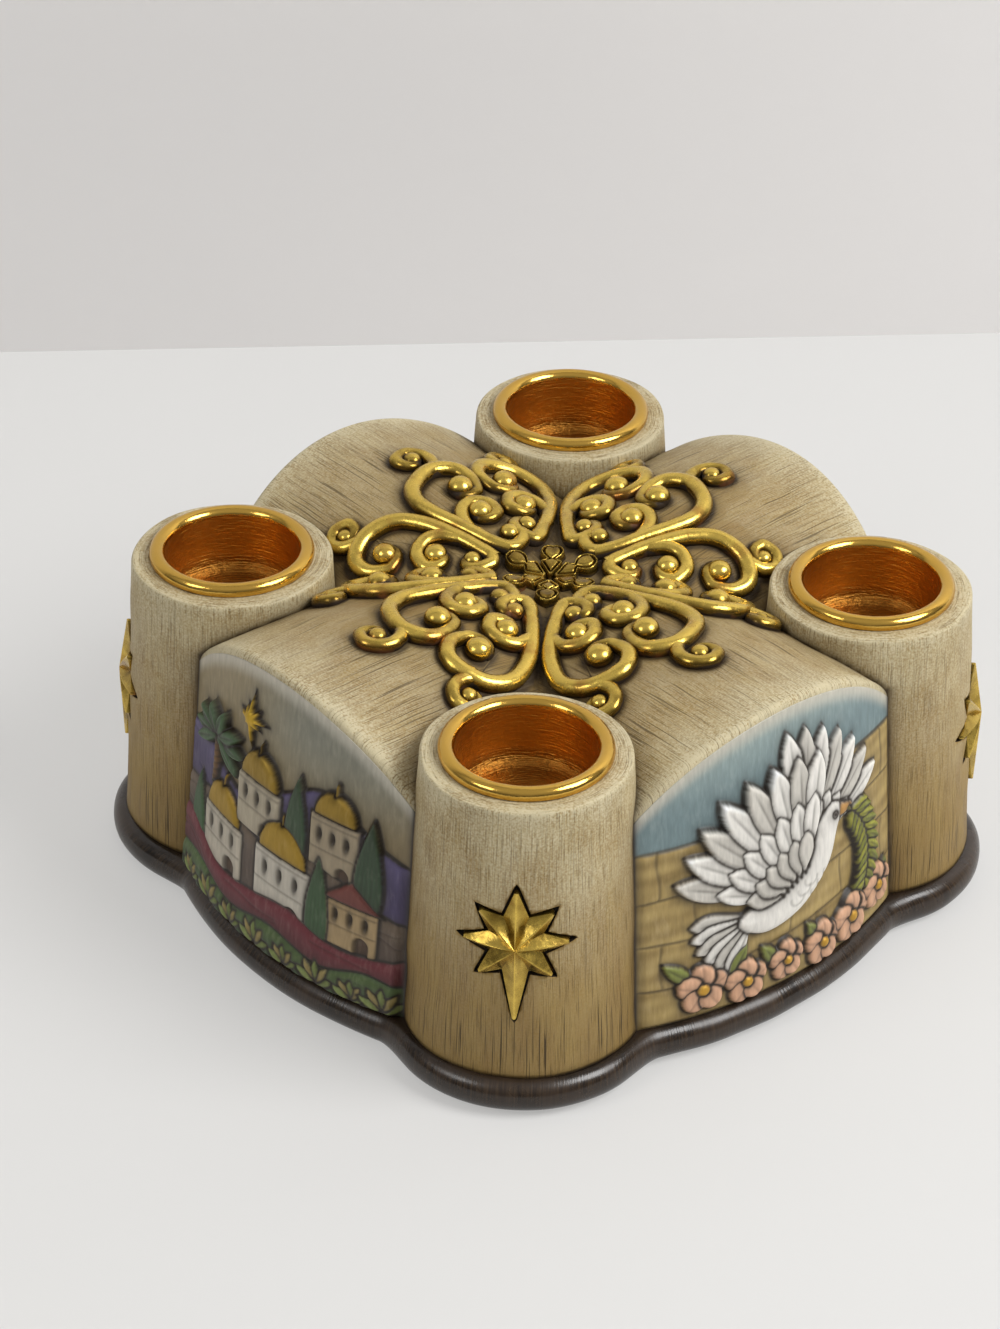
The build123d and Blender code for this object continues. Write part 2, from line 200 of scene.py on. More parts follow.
def curveThrough(points, steps=12, closed=False):
    # smooth line through a few given points
    p = np.asarray(points, float)
    if closed:
        padded = np.vstack([p[-1:], p, p[:2]])
    else:
        padded = np.vstack([2 * p[0] - p[1], p, 2 * p[-1] - p[-2]])
    t = np.linspace(0, 1, steps, endpoint=False)[:, None]
    spans = []
    for i in range(1, len(padded) - 2):
        a, b, c, d = padded[i - 1:i + 3]
        spans.append(b + 0.5 * t * (c - a + t * (2 * a - 5 * b + 4 * c - d + t * (3 * (b - c) + d - a))))
    if not closed:
        spans.append(p[-1:])
    return np.vstack(spans)


def waver(x, y, size, seed):
    # slow smooth unevenness of about plus or minus one, for hand-cast surfaces
    rng = np.random.default_rng(seed)
    total = 0
    for octave in range(5):
        angle, phase = rng.uniform(0, 2 * math.pi, 2)
        k = 2 * math.pi / (size * (0.7 + 0.25 * octave))
        total = total + np.sin(k * (x * math.cos(angle) + y * math.sin(angle)) + phase)
    return total / 3


# Materials

def newMaterial(name):
    # a material, the maker of nodes in its tree, and its shader
    material = bpy.data.materials.new(name)
    material.use_nodes = True
    tree = material.node_tree
    return material, partial(addNode, tree), tree.nodes["Principled BSDF"]


def stoneResin():
    # Stone-filled casting resin, brushed with umber and then dry-brushed with silver cream.
    # The eye sees hair-fine brush lines along each lobe and up each tower, pale edges, and brown hollows that
    # are umber wash and painted shade.
    # Hair lines and scores are drawn a little coarser than real ones, so that they show.
    look = {"hairWidth": 0.17, "hairLength": 7.0, "scoreWidth": 0.24, "scoreLength": 18.0,
            "streakWidth": 4.0, "streakLength": 22.0, "grit": 0.38, "mottle": 8.0,
            "tan": "#8A6D36", "light": "#977C42", "dark": "#423214", "cream": "#C6BA98", "umber": "#3A2B14",
            "hairCatch": 0.55, "mottleCatch": 0.6, "gritRelief": 0.5, "bump": 0.55, "bumpDepth": 0.25}
    material, add, shader = newMaterial("dryBrushedStoneResin")
    grain = add("ShaderNodeUVMap", uv_map="grain").outputs["UV"]
    place = add("ShaderNodeTexCoord").outputs["Object"]

    def lines(width, length, detail):
        scale = (1 / width, 1 / length, 1)
        scaled = add("ShaderNodeMapping", {"Vector": grain, "Scale": scale}).outputs["Vector"]
        return add("ShaderNodeTexNoise", {"Vector": scaled, "Scale": 1.0, "Detail": detail,
                                          "Roughness": 0.55}, noise_dimensions="2D").outputs["Fac"]

    hair = lines(look["hairWidth"], look["hairLength"], 2.0)
    score = lines(look["scoreWidth"], look["scoreLength"], 0.0)
    streaks = lines(look["streakWidth"], look["streakLength"], 3.0)
    mottle = add("ShaderNodeTexNoise", {"Vector": place, "Scale": 1 / (look["mottle"] * mm),
                                        "Detail": 4.0}).outputs["Fac"]
    grit = add("ShaderNodeTexNoise", {"Vector": place, "Scale": 1 / (look["grit"] * mm),
                                      "Detail": 2.0}).outputs["Fac"]
    tone = add("ShaderNodeValToRGB", {"Fac": streaks},
               stops=((0.3, look["tan"]), (0.72, look["light"]))).outputs["Color"]

    # cream catches on the brush ridges, most where the casting is worn
    worn = add("ShaderNodeAttribute", attribute_name="wear").outputs["Fac"]
    catch = add("ShaderNodeMath", {0: hair, 1: look["hairCatch"], 2: grit},
                operation="MULTIPLY_ADD").outputs[0]
    catch = add("ShaderNodeMath", {0: mottle, 1: look["mottleCatch"], 2: catch},
                operation="MULTIPLY_ADD").outputs[0]
    catch = add("ShaderNodeMapRange", {"Value": catch, "From Min": 0.8, "From Max": 1.35,
                                       "To Min": 0.2, "To Max": 1.35}).outputs[0]
    catch = add("ShaderNodeMath", {0: catch, 1: worn}, operation="MULTIPLY", use_clamp=True).outputs[0]
    brushed = add("ShaderNodeMix", {"Factor": catch, 6: tone, 7: linear(look["cream"])},
                  data_type="RGBA").outputs[2]

    # thin wash stays in the hair lines, and more of it in a few deeper scores
    thin = add("ShaderNodeMapRange", {"Value": hair, "From Min": 0.41, "From Max": 0.27,
                                      "To Max": 0.42}).outputs[0]
    deep = add("ShaderNodeMapRange", {"Value": score, "From Min": 0.29, "From Max": 0.19,
                                      "To Max": 1.0}).outputs[0]
    scored = add("ShaderNodeAttribute", attribute_name="score").outputs["Fac"]
    deep = add("ShaderNodeMath", {0: deep, 1: scored}, operation="MULTIPLY").outputs[0]
    scratch = add("ShaderNodeMath", {0: thin, 1: deep}, operation="MAXIMUM").outputs[0]
    lined = add("ShaderNodeMix", {"Factor": scratch, 6: brushed, 7: linear(look["dark"])},
                data_type="RGBA").outputs[2]

    # umber wash and painted shade, laid in as colour where the casting meets towers, scrolls and rosette and
    # in the valleys
    washAndShade = add("ShaderNodeAttribute", attribute_name="washAndShade").outputs["Fac"]
    patchy = add("ShaderNodeMapRange", {"Value": mottle, "From Min": 0.3, "From Max": 0.7,
                                        "To Min": 0.75, "To Max": 1.2}).outputs[0]
    patchyWashShade = add("ShaderNodeMath", {0: washAndShade, 1: patchy}, operation="MULTIPLY", use_clamp=True).outputs[0]
    final = add("ShaderNodeMix", {"Factor": patchyWashShade, 6: lined, 7: linear(look["umber"])},
                data_type="RGBA").outputs[2]
    rough = add("ShaderNodeMapRange", {"Value": streaks, "To Min": 0.46, "To Max": 0.7}).outputs[0]
    relief = add("ShaderNodeMath", {0: grit, 1: look["gritRelief"], 2: hair},
                 operation="MULTIPLY_ADD").outputs[0]
    relief = add("ShaderNodeMath", {0: relief, 1: scratch}, operation="SUBTRACT").outputs[0]
    bump = add("ShaderNodeBump", {"Height": relief, "Strength": look["bump"],
                                  "Distance": look["bumpDepth"] * mm}).outputs["Normal"]
    setInputs(shader, {"Base Color": final, "Roughness": rough, "Normal": bump, "Specular IOR Level": 0.4})
    return material


def plinthLacquer():
    # Cast resin under dark brown lacquer.
    # The eye sees a nearly black gloss, brush marks over the roll, and a crown that is rubbed a little.
    look = {"brown": "#2B1F15", "rubbed": "#5A4732", "deep": "#140E09", "brushWidth": 0.3, "brushLength": 5.0,
            "cloud": 7.0, "bump": 0.14, "bumpDepth": 0.2}
    material, add, shader = newMaterial("brownGlossLacquer")
    place = add("ShaderNodeTexCoord").outputs["Object"]
    grain = add("ShaderNodeUVMap", uv_map="grain").outputs["UV"]
    scale = (1 / look["brushWidth"], 1 / look["brushLength"], 1)
    scaled = add("ShaderNodeMapping", {"Vector": grain, "Scale": scale}).outputs["Vector"]
    brush = add("ShaderNodeTexNoise", {"Vector": scaled, "Scale": 1.0, "Detail": 2.0},
                noise_dimensions="2D").outputs["Fac"]
    cloud = add("ShaderNodeTexNoise", {"Vector": place, "Scale": 1 / (look["cloud"] * mm),
                                       "Detail": 5.0}).outputs["Fac"]
    tone = add("ShaderNodeValToRGB", {"Fac": cloud},
               stops=((0.3, look["deep"]), (0.62, look["brown"]))).outputs["Color"]
    worn = add("ShaderNodeAttribute", attribute_name="wear").outputs["Fac"]
    catch = add("ShaderNodeMapRange", {"Value": brush, "From Min": 0.35, "From Max": 0.85,
                                       "To Max": 0.7}).outputs[0]
    catch = add("ShaderNodeMath", {0: catch, 1: worn}, operation="MULTIPLY").outputs[0]
    final = add("ShaderNodeMix", {"Factor": catch, 6: tone, 7: linear(look["rubbed"])},
                data_type="RGBA").outputs[2]
    rough = add("ShaderNodeMapRange", {"Value": cloud, "From Min": 0.3, "From Max": 0.7,
                                       "To Min": 0.18, "To Max": 0.36}).outputs[0]
    bump = add("ShaderNodeBump", {"Height": brush, "Strength": look["bump"],
                                  "Distance": look["bumpDepth"] * mm}).outputs["Normal"]
    setInputs(shader, {"Base Color": final, "Roughness": rough, "Normal": bump})
    return material


def antiqueGilding():
    # Gold paint over cast relief with umber antiquing.
    # The eye sees bright crests, olive flanks with a little copper, and matt brown in the hollows: the bright
    # crests are partly painted highlight, the dark flanks and hollows partly painted shade.
    look = {"gold": "#DCBC5A", "olive": "#7C6226", "copper": "#96592A", "umber": "#2A1C0B",
            "patch": 3.2, "dent": 1.3, "copperPatch": 5.5, "uneven": 0.7, "dentRelief": 0.6,
            "bump": 0.3, "bumpDepth": 0.3}
    material, add, shader = newMaterial("antiqueGoldPaint")
    place = add("ShaderNodeTexCoord").outputs["Object"]
    patch = add("ShaderNodeTexNoise", {"Vector": place, "Scale": 1 / (look["patch"] * mm),
                                       "Detail": 4.0}).outputs["Fac"]
    dents = add("ShaderNodeTexNoise", {"Vector": place, "Scale": 1 / (look["dent"] * mm),
                                       "Detail": 2.0}).outputs["Fac"]
    # height of each point, with painted shade taken off in crevices and painted highlight on the star ridges,
    # sets the tone from umber through olive to gold
    riseAndShade = add("ShaderNodeAttribute", attribute_name="riseAndShade").outputs["Fac"]
    uneven = add("ShaderNodeMath", {0: patch, 1: 0.5}, operation="SUBTRACT").outputs[0]
    level = add("ShaderNodeMath", {0: uneven, 1: look["uneven"], 2: riseAndShade},
                operation="MULTIPLY_ADD").outputs[0]
    tone = add("ShaderNodeValToRGB", {"Fac": level},
               stops=((0.2, look["umber"]), (0.6, look["olive"]), (1.0, look["gold"]))).outputs["Color"]
    copper = add("ShaderNodeTexNoise", {"Vector": place, "Scale": 1 / (look["copperPatch"] * mm),
                                        "Detail": 3.0}).outputs["Fac"]
    copper = add("ShaderNodeMapRange", {"Value": copper, "From Min": 0.57, "From Max": 0.72,
                                        "To Max": 0.5}).outputs[0]
    final = add("ShaderNodeMix", {"Factor": copper, 6: tone, 7: linear(look["copper"])},
                data_type="RGBA").outputs[2]
    metal = add("ShaderNodeMapRange", {"Value": level, "From Min": 0.1, "From Max": 0.5,
                                       "To Min": 0.2, "To Max": 0.9}).outputs[0]
    rough = add("ShaderNodeMapRange", {"Value": dents, "From Min": 0.3, "From Max": 0.7,
                                       "To Min": 0.18, "To Max": 0.32}).outputs[0]
    matt = add("ShaderNodeMapRange", {"Value": level, "From Min": 0.15, "From Max": 0.5,
                                      "To Min": 0.75, "To Max": 0.1}).outputs[0]
    rough = add("ShaderNodeMath", {0: rough, 1: matt}, operation="MAXIMUM").outputs[0]
    relief = add("ShaderNodeMath", {0: dents, 1: look["dentRelief"], 2: patch},
                 operation="MULTIPLY_ADD").outputs[0]
    bump = add("ShaderNodeBump", {"Height": relief, "Strength": look["bump"],
                                  "Distance": look["bumpDepth"] * mm}).outputs["Normal"]
    setInputs(shader, {"Base Color": final, "Metallic": metal, "Roughness": rough, "Normal": bump})
    return material


def cupBrass():
    # Drawn brass under amber lacquer: polished on the rolled rim, brushed and darker orange down inside, with
    # painted shade darkening the floor.
    look = {"rim": "#D9AE52", "wall": "#E6AA4E", "floor": "#8A5C24", "brushWidth": 0.35, "brushLength": 5.0,
            "dimple": 0.9, "patch": 3.0, "haze": 0.22, "bumpDepth": 0.3}
    material, add, shader = newMaterial("lacqueredBrass")
    grain = add("ShaderNodeUVMap", uv_map="grain").outputs["UV"]
    place = add("ShaderNodeTexCoord").outputs["Object"]
    scale = (1 / look["brushLength"], 1 / look["brushWidth"], 1)
    scaled = add("ShaderNodeMapping", {"Vector": grain, "Scale": scale}).outputs["Vector"]
    brush = add("ShaderNodeTexNoise", {"Vector": scaled, "Scale": 1.0, "Detail": 3.0},
                noise_dimensions="2D").outputs["Fac"]
    dimple = add("ShaderNodeTexNoise", {"Vector": place, "Scale": 1 / (look["dimple"] * mm),
                                        "Detail": 3.0}).outputs["Fac"]
    patch = add("ShaderNodeTexNoise", {"Vector": place, "Scale": 1 / (look["patch"] * mm),
                                       "Detail": 3.0}).outputs["Fac"]
    inside = add("ShaderNodeAttribute", attribute_name="inside").outputs["Fac"]
    haze = add("ShaderNodeMath", {0: patch, 1: inside}, operation="MULTIPLY").outputs[0]
    haze = add("ShaderNodeMath", {0: haze, 1: look["haze"], 2: inside}, operation="MULTIPLY_ADD").outputs[0]
    tone = add("ShaderNodeValToRGB", {"Fac": haze},
               stops=((0.1, look["rim"]), (0.64, look["wall"]), (1.0, look["floor"]))).outputs["Color"]
    rough = add("ShaderNodeMapRange", {"Value": inside, "To Min": 0.14, "To Max": 0.48}).outputs[0]
    relief = add("ShaderNodeMath", {0: brush, 1: dimple}, operation="ADD").outputs[0]
    depth = add("ShaderNodeMapRange", {"Value": inside, "To Min": 0.1, "To Max": 0.9}).outputs[0]
    bump = add("ShaderNodeBump", {"Height": relief, "Strength": depth,
                                  "Distance": look["bumpDepth"] * mm}).outputs["Normal"]
    setInputs(shader, {"Base Color": tone, "Roughness": rough, "Normal": bump, "Metallic": 1.0})
    return material


def reliefPaint():
    # Hand-painted acrylic on cast relief: chalky colours, a little brush streak, dark wash left in the cuts,
    # and painted shade round the raised shapes and in the hollows.
    look = {"ink": "#231A10", "chalk": "#D8D2C4", "brush": 0.7, "brushPull": 0.22, "cloud": 4.0,
            "bump": 0.3, "bumpDepth": 0.15}
    material, add, shader = newMaterial("handPaintedRelief")
    place = add("ShaderNodeTexCoord").outputs["Object"]
    paint = add("ShaderNodeAttribute", attribute_name="paint").outputs["Color"]
    ink = add("ShaderNodeAttribute", attribute_name="ink").outputs["Fac"]
    gilt = add("ShaderNodeAttribute", attribute_name="gilt").outputs["Fac"]
    pulled = add("ShaderNodeMapping", {"Vector": place, "Scale": (1, 1, look["brushPull"])}).outputs["Vector"]
    brush = add("ShaderNodeTexNoise", {"Vector": pulled, "Scale": 1 / (look["brush"] * mm),
                                       "Detail": 3.0}).outputs["Fac"]
    cloud = add("ShaderNodeTexNoise", {"Vector": place, "Scale": 1 / (look["cloud"] * mm),
                                       "Detail": 4.0}).outputs["Fac"]
    shade = add("ShaderNodeMapRange", {"Value": brush, "From Min": 0.3, "From Max": 0.7,
                                       "To Min": 0.88, "To Max": 1.08}).outputs[0]
    shaded = add("ShaderNodeMix", {"Factor": 1.0, 6: paint, 7: shade}, data_type="RGBA",
                 blend_type="MULTIPLY").outputs[2]
    catch = add("ShaderNodeMath", {0: brush, 1: cloud}, operation="MULTIPLY").outputs[0]
    catch = add("ShaderNodeMapRange", {"Value": catch, "From Min": 0.26, "From Max": 0.45,
                                       "To Max": 0.06}).outputs[0]
    chalked = add("ShaderNodeMix", {"Factor": catch, 6: shaded, 7: linear(look["chalk"])},
                  data_type="RGBA").outputs[2]
    final = add("ShaderNodeMix", {"Factor": ink, 6: chalked, 7: linear(look["ink"])},
                data_type="RGBA").outputs[2]
    rough = add("ShaderNodeMapRange", {"Value": cloud, "To Min": 0.42, "To Max": 0.66}).outputs[0]
    bump = add("ShaderNodeBump", {"Height": brush, "Strength": look["bump"],
                                  "Distance": look["bumpDepth"] * mm}).outputs["Normal"]
    setInputs(shader, {"Base Color": final, "Metallic": gilt, "Roughness": rough, "Normal": bump})
    return material


def starBedShade():
    # Nearly black paint in the bed round each star, painted shade over a thin dark wash: matt, a little
    # uneven.
    look = {"black": "#0F0B07", "brown": "#3A2C1A", "cloud": 1.5}
    material, add, shader = newMaterial("starBedShade")
    place = add("ShaderNodeTexCoord").outputs["Object"]
    cloud = add("ShaderNodeTexNoise", {"Vector": place, "Scale": 1 / (look["cloud"] * mm),
                                       "Detail": 3.0}).outputs["Fac"]
    tone = add("ShaderNodeValToRGB", {"Fac": cloud},
               stops=((0.0, look["black"]), (1.0, look["brown"]))).outputs["Color"]
    setInputs(shader, {"Base Color": tone, "Roughness": 0.7})
    return material


def feltPile():
    # Pressed wool felt: dark, matt, with a short tangled pile that lights up at a low angle.
    look = {"dark": "#17120E", "light": "#4A3C30", "pile": 0.3, "bump": 0.8, "bumpDepth": 0.3}
    material, add, shader = newMaterial("pressedFelt")
    place = add("ShaderNodeTexCoord").outputs["Object"]
    pile = add("ShaderNodeTexNoise", {"Vector": place, "Scale": 1 / (look["pile"] * mm),
                                      "Detail": 5.0}).outputs["Fac"]
    tone = add("ShaderNodeValToRGB", {"Fac": pile},
               stops=((0.0, look["dark"]), (1.0, look["light"]))).outputs["Color"]
    bump = add("ShaderNodeBump", {"Height": pile, "Strength": look["bump"],
                                  "Distance": look["bumpDepth"] * mm}).outputs["Normal"]
    setInputs(shader, {"Base Color": tone, "Normal": bump, "Roughness": 0.95, "Sheen Weight": 0.4})
    return material


stone = stoneResin()
lacquer = plinthLacquer()
gilding = antiqueGilding()
brass = cupBrass()
painted = reliefPaint()
bedShade = starBedShade()
felt = feltPile()
print("materials:", len(bpy.data.materials))


# The casting's own surfaces

# pairs of a wash, painted shade or wear are its share at the edge and the distance over which it dies away
body = {"bowRadius": 80.0, "lean": 5.0, "archRadius": 41.0, "dishDepth": 6.0, "dishRadius": 45.0,
        "edgeRound": 1.3, "rays": 480, "topRings": 170, "roundRings": 6, "wallRings": 16,
        "hideRadius": 15.5, "hideRound": 0.05, "foot": 0.1, "unevenness": 0.1, "waveLength": 11.0,
        "nearestEdge": 40.0, "farthestEdge": 75.0, "grainSway": 0.5, "grainWave": 46.0,
        "towerWashShade": (0.55, 0.7), "towerShadeHaze": (0.22, 4.0), "valleyWashShade": (0.3, 1.2),
        "rosetteWashShade": 0.4, "rosetteReach": (11.0, 8.5), "scrollWashShade": (0.8, 0.6), "scrollShadeHaze": (0.34, 2.4),
        "edgeWear": (1.1, 1.3), "edgeHaze": (0.45, 6.0), "wear": 0.27, "outerWear": 0.2, "wearUnderWashShade": 0.2,
        "score": 0.65}
leanSlope = math.tan(math.radians(body["lean"]))
tower = {"topRadius": 17.8, "edgeRound": 0.55, "socketRadius": 12.98, "socketDepth": 11.7, "sides": 168,
         "foot": 0.1, "levels": 60, "unevenness": 0.12, "waveLength": 14.0, "sideWashShade": (0.9, 0.6),
         "sideShadeHaze": (0.3, 3.0), "footWashShade": (0.85, 0.4), "footHaze": 0.1, "socketWashShade": 0.8,
         "wear": 0.12, "upperWear": 0.62, "rimWear": (0.6, 1.4), "wearUnderWashShade": 0.3, "score": 0.3,
         "footScore": 1.3}


def topAt(x, y):
    # level of the cushion top: the arch of the lobe that the point lies in, dropping into the dish
    reach, across = np.maximum(np.abs(x), np.abs(y)), np.minimum(np.abs(x), np.abs(y))
    crest = ridge - body["dishDepth"] * np.maximum(0, 1 - reach / body["dishRadius"]) ** 2
    return crest - body["archRadius"] + np.sqrt(np.maximum(0, body["archRadius"] ** 2 - across ** 2))


def sideAt(across, level):
    # distance out to the bowed, leaning side at one level
    start = sideReach - leanSlope * (level - deck) - body["bowRadius"]
    return start + np.sqrt(np.maximum(0, body["bowRadius"] ** 2 - across ** 2))


def towerRadius(level):
    return towerFoot + (tower["topRadius"] - towerFoot) * (level - deck) / (towerTop - deck)


# Scrollwork, laid out in one lobe as shares of the tower offset: outwards, then to the front or back tower

scrolls = {
    "ridge": {
        "spine": [(0.25, -0.015), (0.3, -0.045), (0.36, -0.068), (0.475, -0.1), (0.625, -0.142),
                  (0.735, -0.15), (0.825, -0.108), (0.878, -0.012), (0.888, 0.078), (0.838, 0.158),
                  (0.752, 0.172), (0.672, 0.142)],
        "hook": [(0.44, -0.09), (0.52, -0.068), (0.578, -0.02), (0.592, 0.045), (0.55, 0.1), (0.488, 0.1)],
        "stub": [(0.34, -0.06), (0.282, -0.035), (0.252, 0.005), (0.262, 0.055)],
        "curl": [(0.885, 0.05), (0.925, 0.095), (0.985, 0.116), (1.045, 0.1), (1.082, 0.048),
                 (1.066, -0.008)],
        "balls": {"spine": (0.71, 0.076, 2.4), "hook": (0.518, 0.034, 2.25), "stub": (0.338, 0.052, 1.85),
                  "curl": (1.012, 0.042, 1.75)},
    },
    "valley": {
        "spine": [(0.25, 0.12), (0.295, 0.205), (0.38, 0.315), (0.5, 0.43), (0.64, 0.495), (0.76, 0.47),
                  (0.825, 0.39), (0.835, 0.3), (0.768, 0.23), (0.672, 0.228)],
        "hook": [(0.4, 0.335), (0.49, 0.345), (0.548, 0.3), (0.552, 0.232), (0.5, 0.185)],
        "stub": [(0.32, 0.24), (0.27, 0.18), (0.252, 0.13), (0.285, 0.1)],
        "curl": [(0.79, 0.44), (0.85, 0.418), (0.915, 0.43), (0.95, 0.478), (0.93, 0.532)],
        "balls": {"spine": (0.682, 0.316, 2.4), "hook": (0.48, 0.262, 2.2), "stub": (0.352, 0.166, 1.8),
                  "curl": (0.882, 0.488, 1.65)},
    },
    "minor": {
        "spine": [(0.235, -0.112), (0.3, -0.126), (0.36, -0.138), (0.45, -0.162), (0.615, -0.222),
                  (0.725, -0.305), (0.76, -0.43), (0.71, -0.53), (0.615, -0.535), (0.548, -0.48)],
        "hook": [(0.43, -0.16), (0.502, -0.212), (0.528, -0.282), (0.495, -0.352), (0.42, -0.37)],
        "stub": [(0.33, -0.13), (0.268, -0.118), (0.228, -0.14), (0.232, -0.19)],
        "curl": [(0.755, -0.45), (0.8, -0.515), (0.865, -0.535), (0.908, -0.49), (0.89, -0.436)],
        "balls": {"spine": (0.612, -0.44, 2.3), "hook": (0.432, -0.296, 2.15),
                  "stub": (0.298, -0.198, 1.75), "curl": (0.845, -0.48, 1.6)},
    },
}
rods = {"start": 1.45, "spine": 1.68, "hook": 1.5, "stub": 1.45, "curl": 1.35, "end": 1.05, "sink": 0.45,
        "steps": 8, "swellBy": 0.5, "thinFrom": 0.68, "ballSink": 0.38, "sides": 20, "ballSegments": 28,
        "ballRings": 16, "ballHeight": 0.9, "relief": 2.2, "curlIn": 150.0, "curlSteps": 6, "curlEnd": 0.5,
        "creviceWidth": 0.32, "creviceShade": 0.62, "creviceLevel": (0.85, 0.45)}
farAway = 99.0                               # a start for nearest distances, beyond all of the holder


def curlInto(line, spot, ballRadius):
    # carries a rod's end round its ball, the way it already turns, until it meets the ball
    last, before = line[-1], line[-2]
    start = last - spot
    way = last - before
    sense = 1 if start[0] * way[1] - start[1] * way[0] > 0 else -1
    turn, reach = math.atan2(start[1], start[0]), np.hypot(*start)
    more = []
    for k in range(1, rods["curlSteps"] + 1):
        share = k / rods["curlSteps"]
        angle = turn + sense * math.radians(rods["curlIn"]) * share
        distance = reach + (rods["curlEnd"] * ballRadius - reach) * share
        more.append(spot + distance * np.array([math.cos(angle), math.sin(angle)]))
    return np.vstack([line, more])


def scrollLines(kind):
    # sampled rods of one scroll in the +X lobe: plan points, with a radius that swells and thins
    lines = []
    place = np.array([towerSpot, -towerSpot])
    for name in ("spine", "hook", "stub", "curl"):
        ball = scrolls[kind]["balls"][name]
        shares = np.array(scrolls[kind][name]) * place
        line = curveThrough(curlInto(shares, np.array(ball[:2]) * place, ball[2]), rods["steps"])
        step = np.r_[0, np.cumsum(np.linalg.norm(np.diff(line, axis=0), axis=1))]
        t = step / step[-1]
        swell = rods["start"] + (rods[name] - rods["start"]) * smooth(0, rods["swellBy"], t)
        radius = swell + (rods["end"] - swell) * smooth(rods["thinFrom"], 1, t)
        lines.append((line, radius))
    return lines


def scrollBalls(kind):
    balls = np.array(list(scrolls[kind]["balls"].values()))
    return balls[:, :2] * np.array([towerSpot, -towerSpot]), balls[:, 2]


def scrollTree():
    # rods swept along the drawn lines, balls set on the loose points
    tree = bpy.data.node_groups.new("scrollwork", "GeometryNodeTree")
    face = tree.interface
    face.new_socket(name="Geometry", in_out="INPUT", socket_type="NodeSocketGeometry")
    sockets = {}
    for name, kind in (("Rod Sides", "Int"), ("Ball Segments", "Int"), ("Ball Rings", "Int"),
                       ("Ball Height", "Float"), ("Gilding", "Material")):
        made = face.new_socket(name=name, in_out="INPUT", socket_type="NodeSocket" + kind)
        sockets[name] = made.identifier
    face.new_socket(name="Geometry", in_out="OUTPUT", socket_type="NodeSocketGeometry")
    add = partial(addNode, tree)
    given = add("NodeGroupInput").outputs
    ball, thick = (add("GeometryNodeInputNamedAttribute", {"Name": name},
                       data_type="FLOAT").outputs["Attribute"] for name in ("ballRadius", "rodRadius"))
    isBall = add("FunctionNodeCompare", {0: ball, 1: 0.0}, data_type="FLOAT",
                 operation="GREATER_THAN").outputs["Result"]
    split = add("GeometryNodeSeparateGeometry", {"Geometry": given["Geometry"], "Selection": isBall},
                domain="POINT").outputs
    spots = add("GeometryNodeMeshToPoints", {"Mesh": split["Selection"]}).outputs["Points"]
    sphere = add("GeometryNodeMeshUVSphere", {"Segments": given["Ball Segments"],
                                              "Rings": given["Ball Rings"], "Radius": 1.0}).outputs["Mesh"]
    shape = add("ShaderNodeCombineXYZ", {"X": 1.0, "Y": 1.0, "Z": given["Ball Height"]}).outputs["Vector"]
    size = add("ShaderNodeVectorMath", {0: shape, "Scale": ball}, operation="SCALE").outputs["Vector"]
    balls = add("GeometryNodeInstanceOnPoints", {"Points": spots, "Instance": sphere,
                                                 "Scale": size}).outputs["Instances"]
    path = add("GeometryNodeMeshToCurve", {"Mesh": split["Inverted"]}).outputs["Curve"]
    section = add("GeometryNodeCurvePrimitiveCircle", {"Resolution": given["Rod Sides"],
                                                       "Radius": 1.0}).outputs["Curve"]
    rod = add("GeometryNodeCurveToMesh", {"Curve": path, "Profile Curve": section, "Scale": thick,
                                          "Fill Caps": True}).outputs["Mesh"]
    both = add("GeometryNodeJoinGeometry", {"Geometry": balls})
    setInputs(both, {"Geometry": rod})
    whole = add("GeometryNodeRealizeInstances", {"Geometry": both.outputs["Geometry"]}).outputs["Geometry"]
    even = add("GeometryNodeSetShadeSmooth", {"Geometry": whole}).outputs["Geometry"]
    gilt = add("GeometryNodeSetMaterial", {"Geometry": even,
                                           "Material": given["Gilding"]}).outputs["Geometry"]
    add("NodeGroupOutput", {"Geometry": gilt})
    return tree, sockets


def meetingGap(kind, spread, member):
    # distance from each point of a spray to the nearest other rod or ball of the lobe
    nearest = np.full(len(spread), farAway)
    for other in scrolls:
        lines = scrollLines(other)
        for number, (line, radius) in enumerate(lines):
            level = topAt(line[:, 0], line[:, 1]) + rods["sink"] * radius
            free = member != number if other == kind else np.ones(len(spread), bool)
            for (px, py), pz, r in zip(line, level, radius):
                away = np.linalg.norm(spread - (px, py, pz), axis=1) - r
                nearest = np.where(free, np.minimum(nearest, away), nearest)
        for number, ((px, py), r) in enumerate(zip(*scrollBalls(other))):
            free = member != len(lines) + number if other == kind else np.ones(len(spread), bool)
            away = np.linalg.norm(spread - (px, py, topAt(px, py) + rods["ballSink"] * r), axis=1) - r
            nearest = np.where(free, np.minimum(nearest, away), nearest)
    return nearest


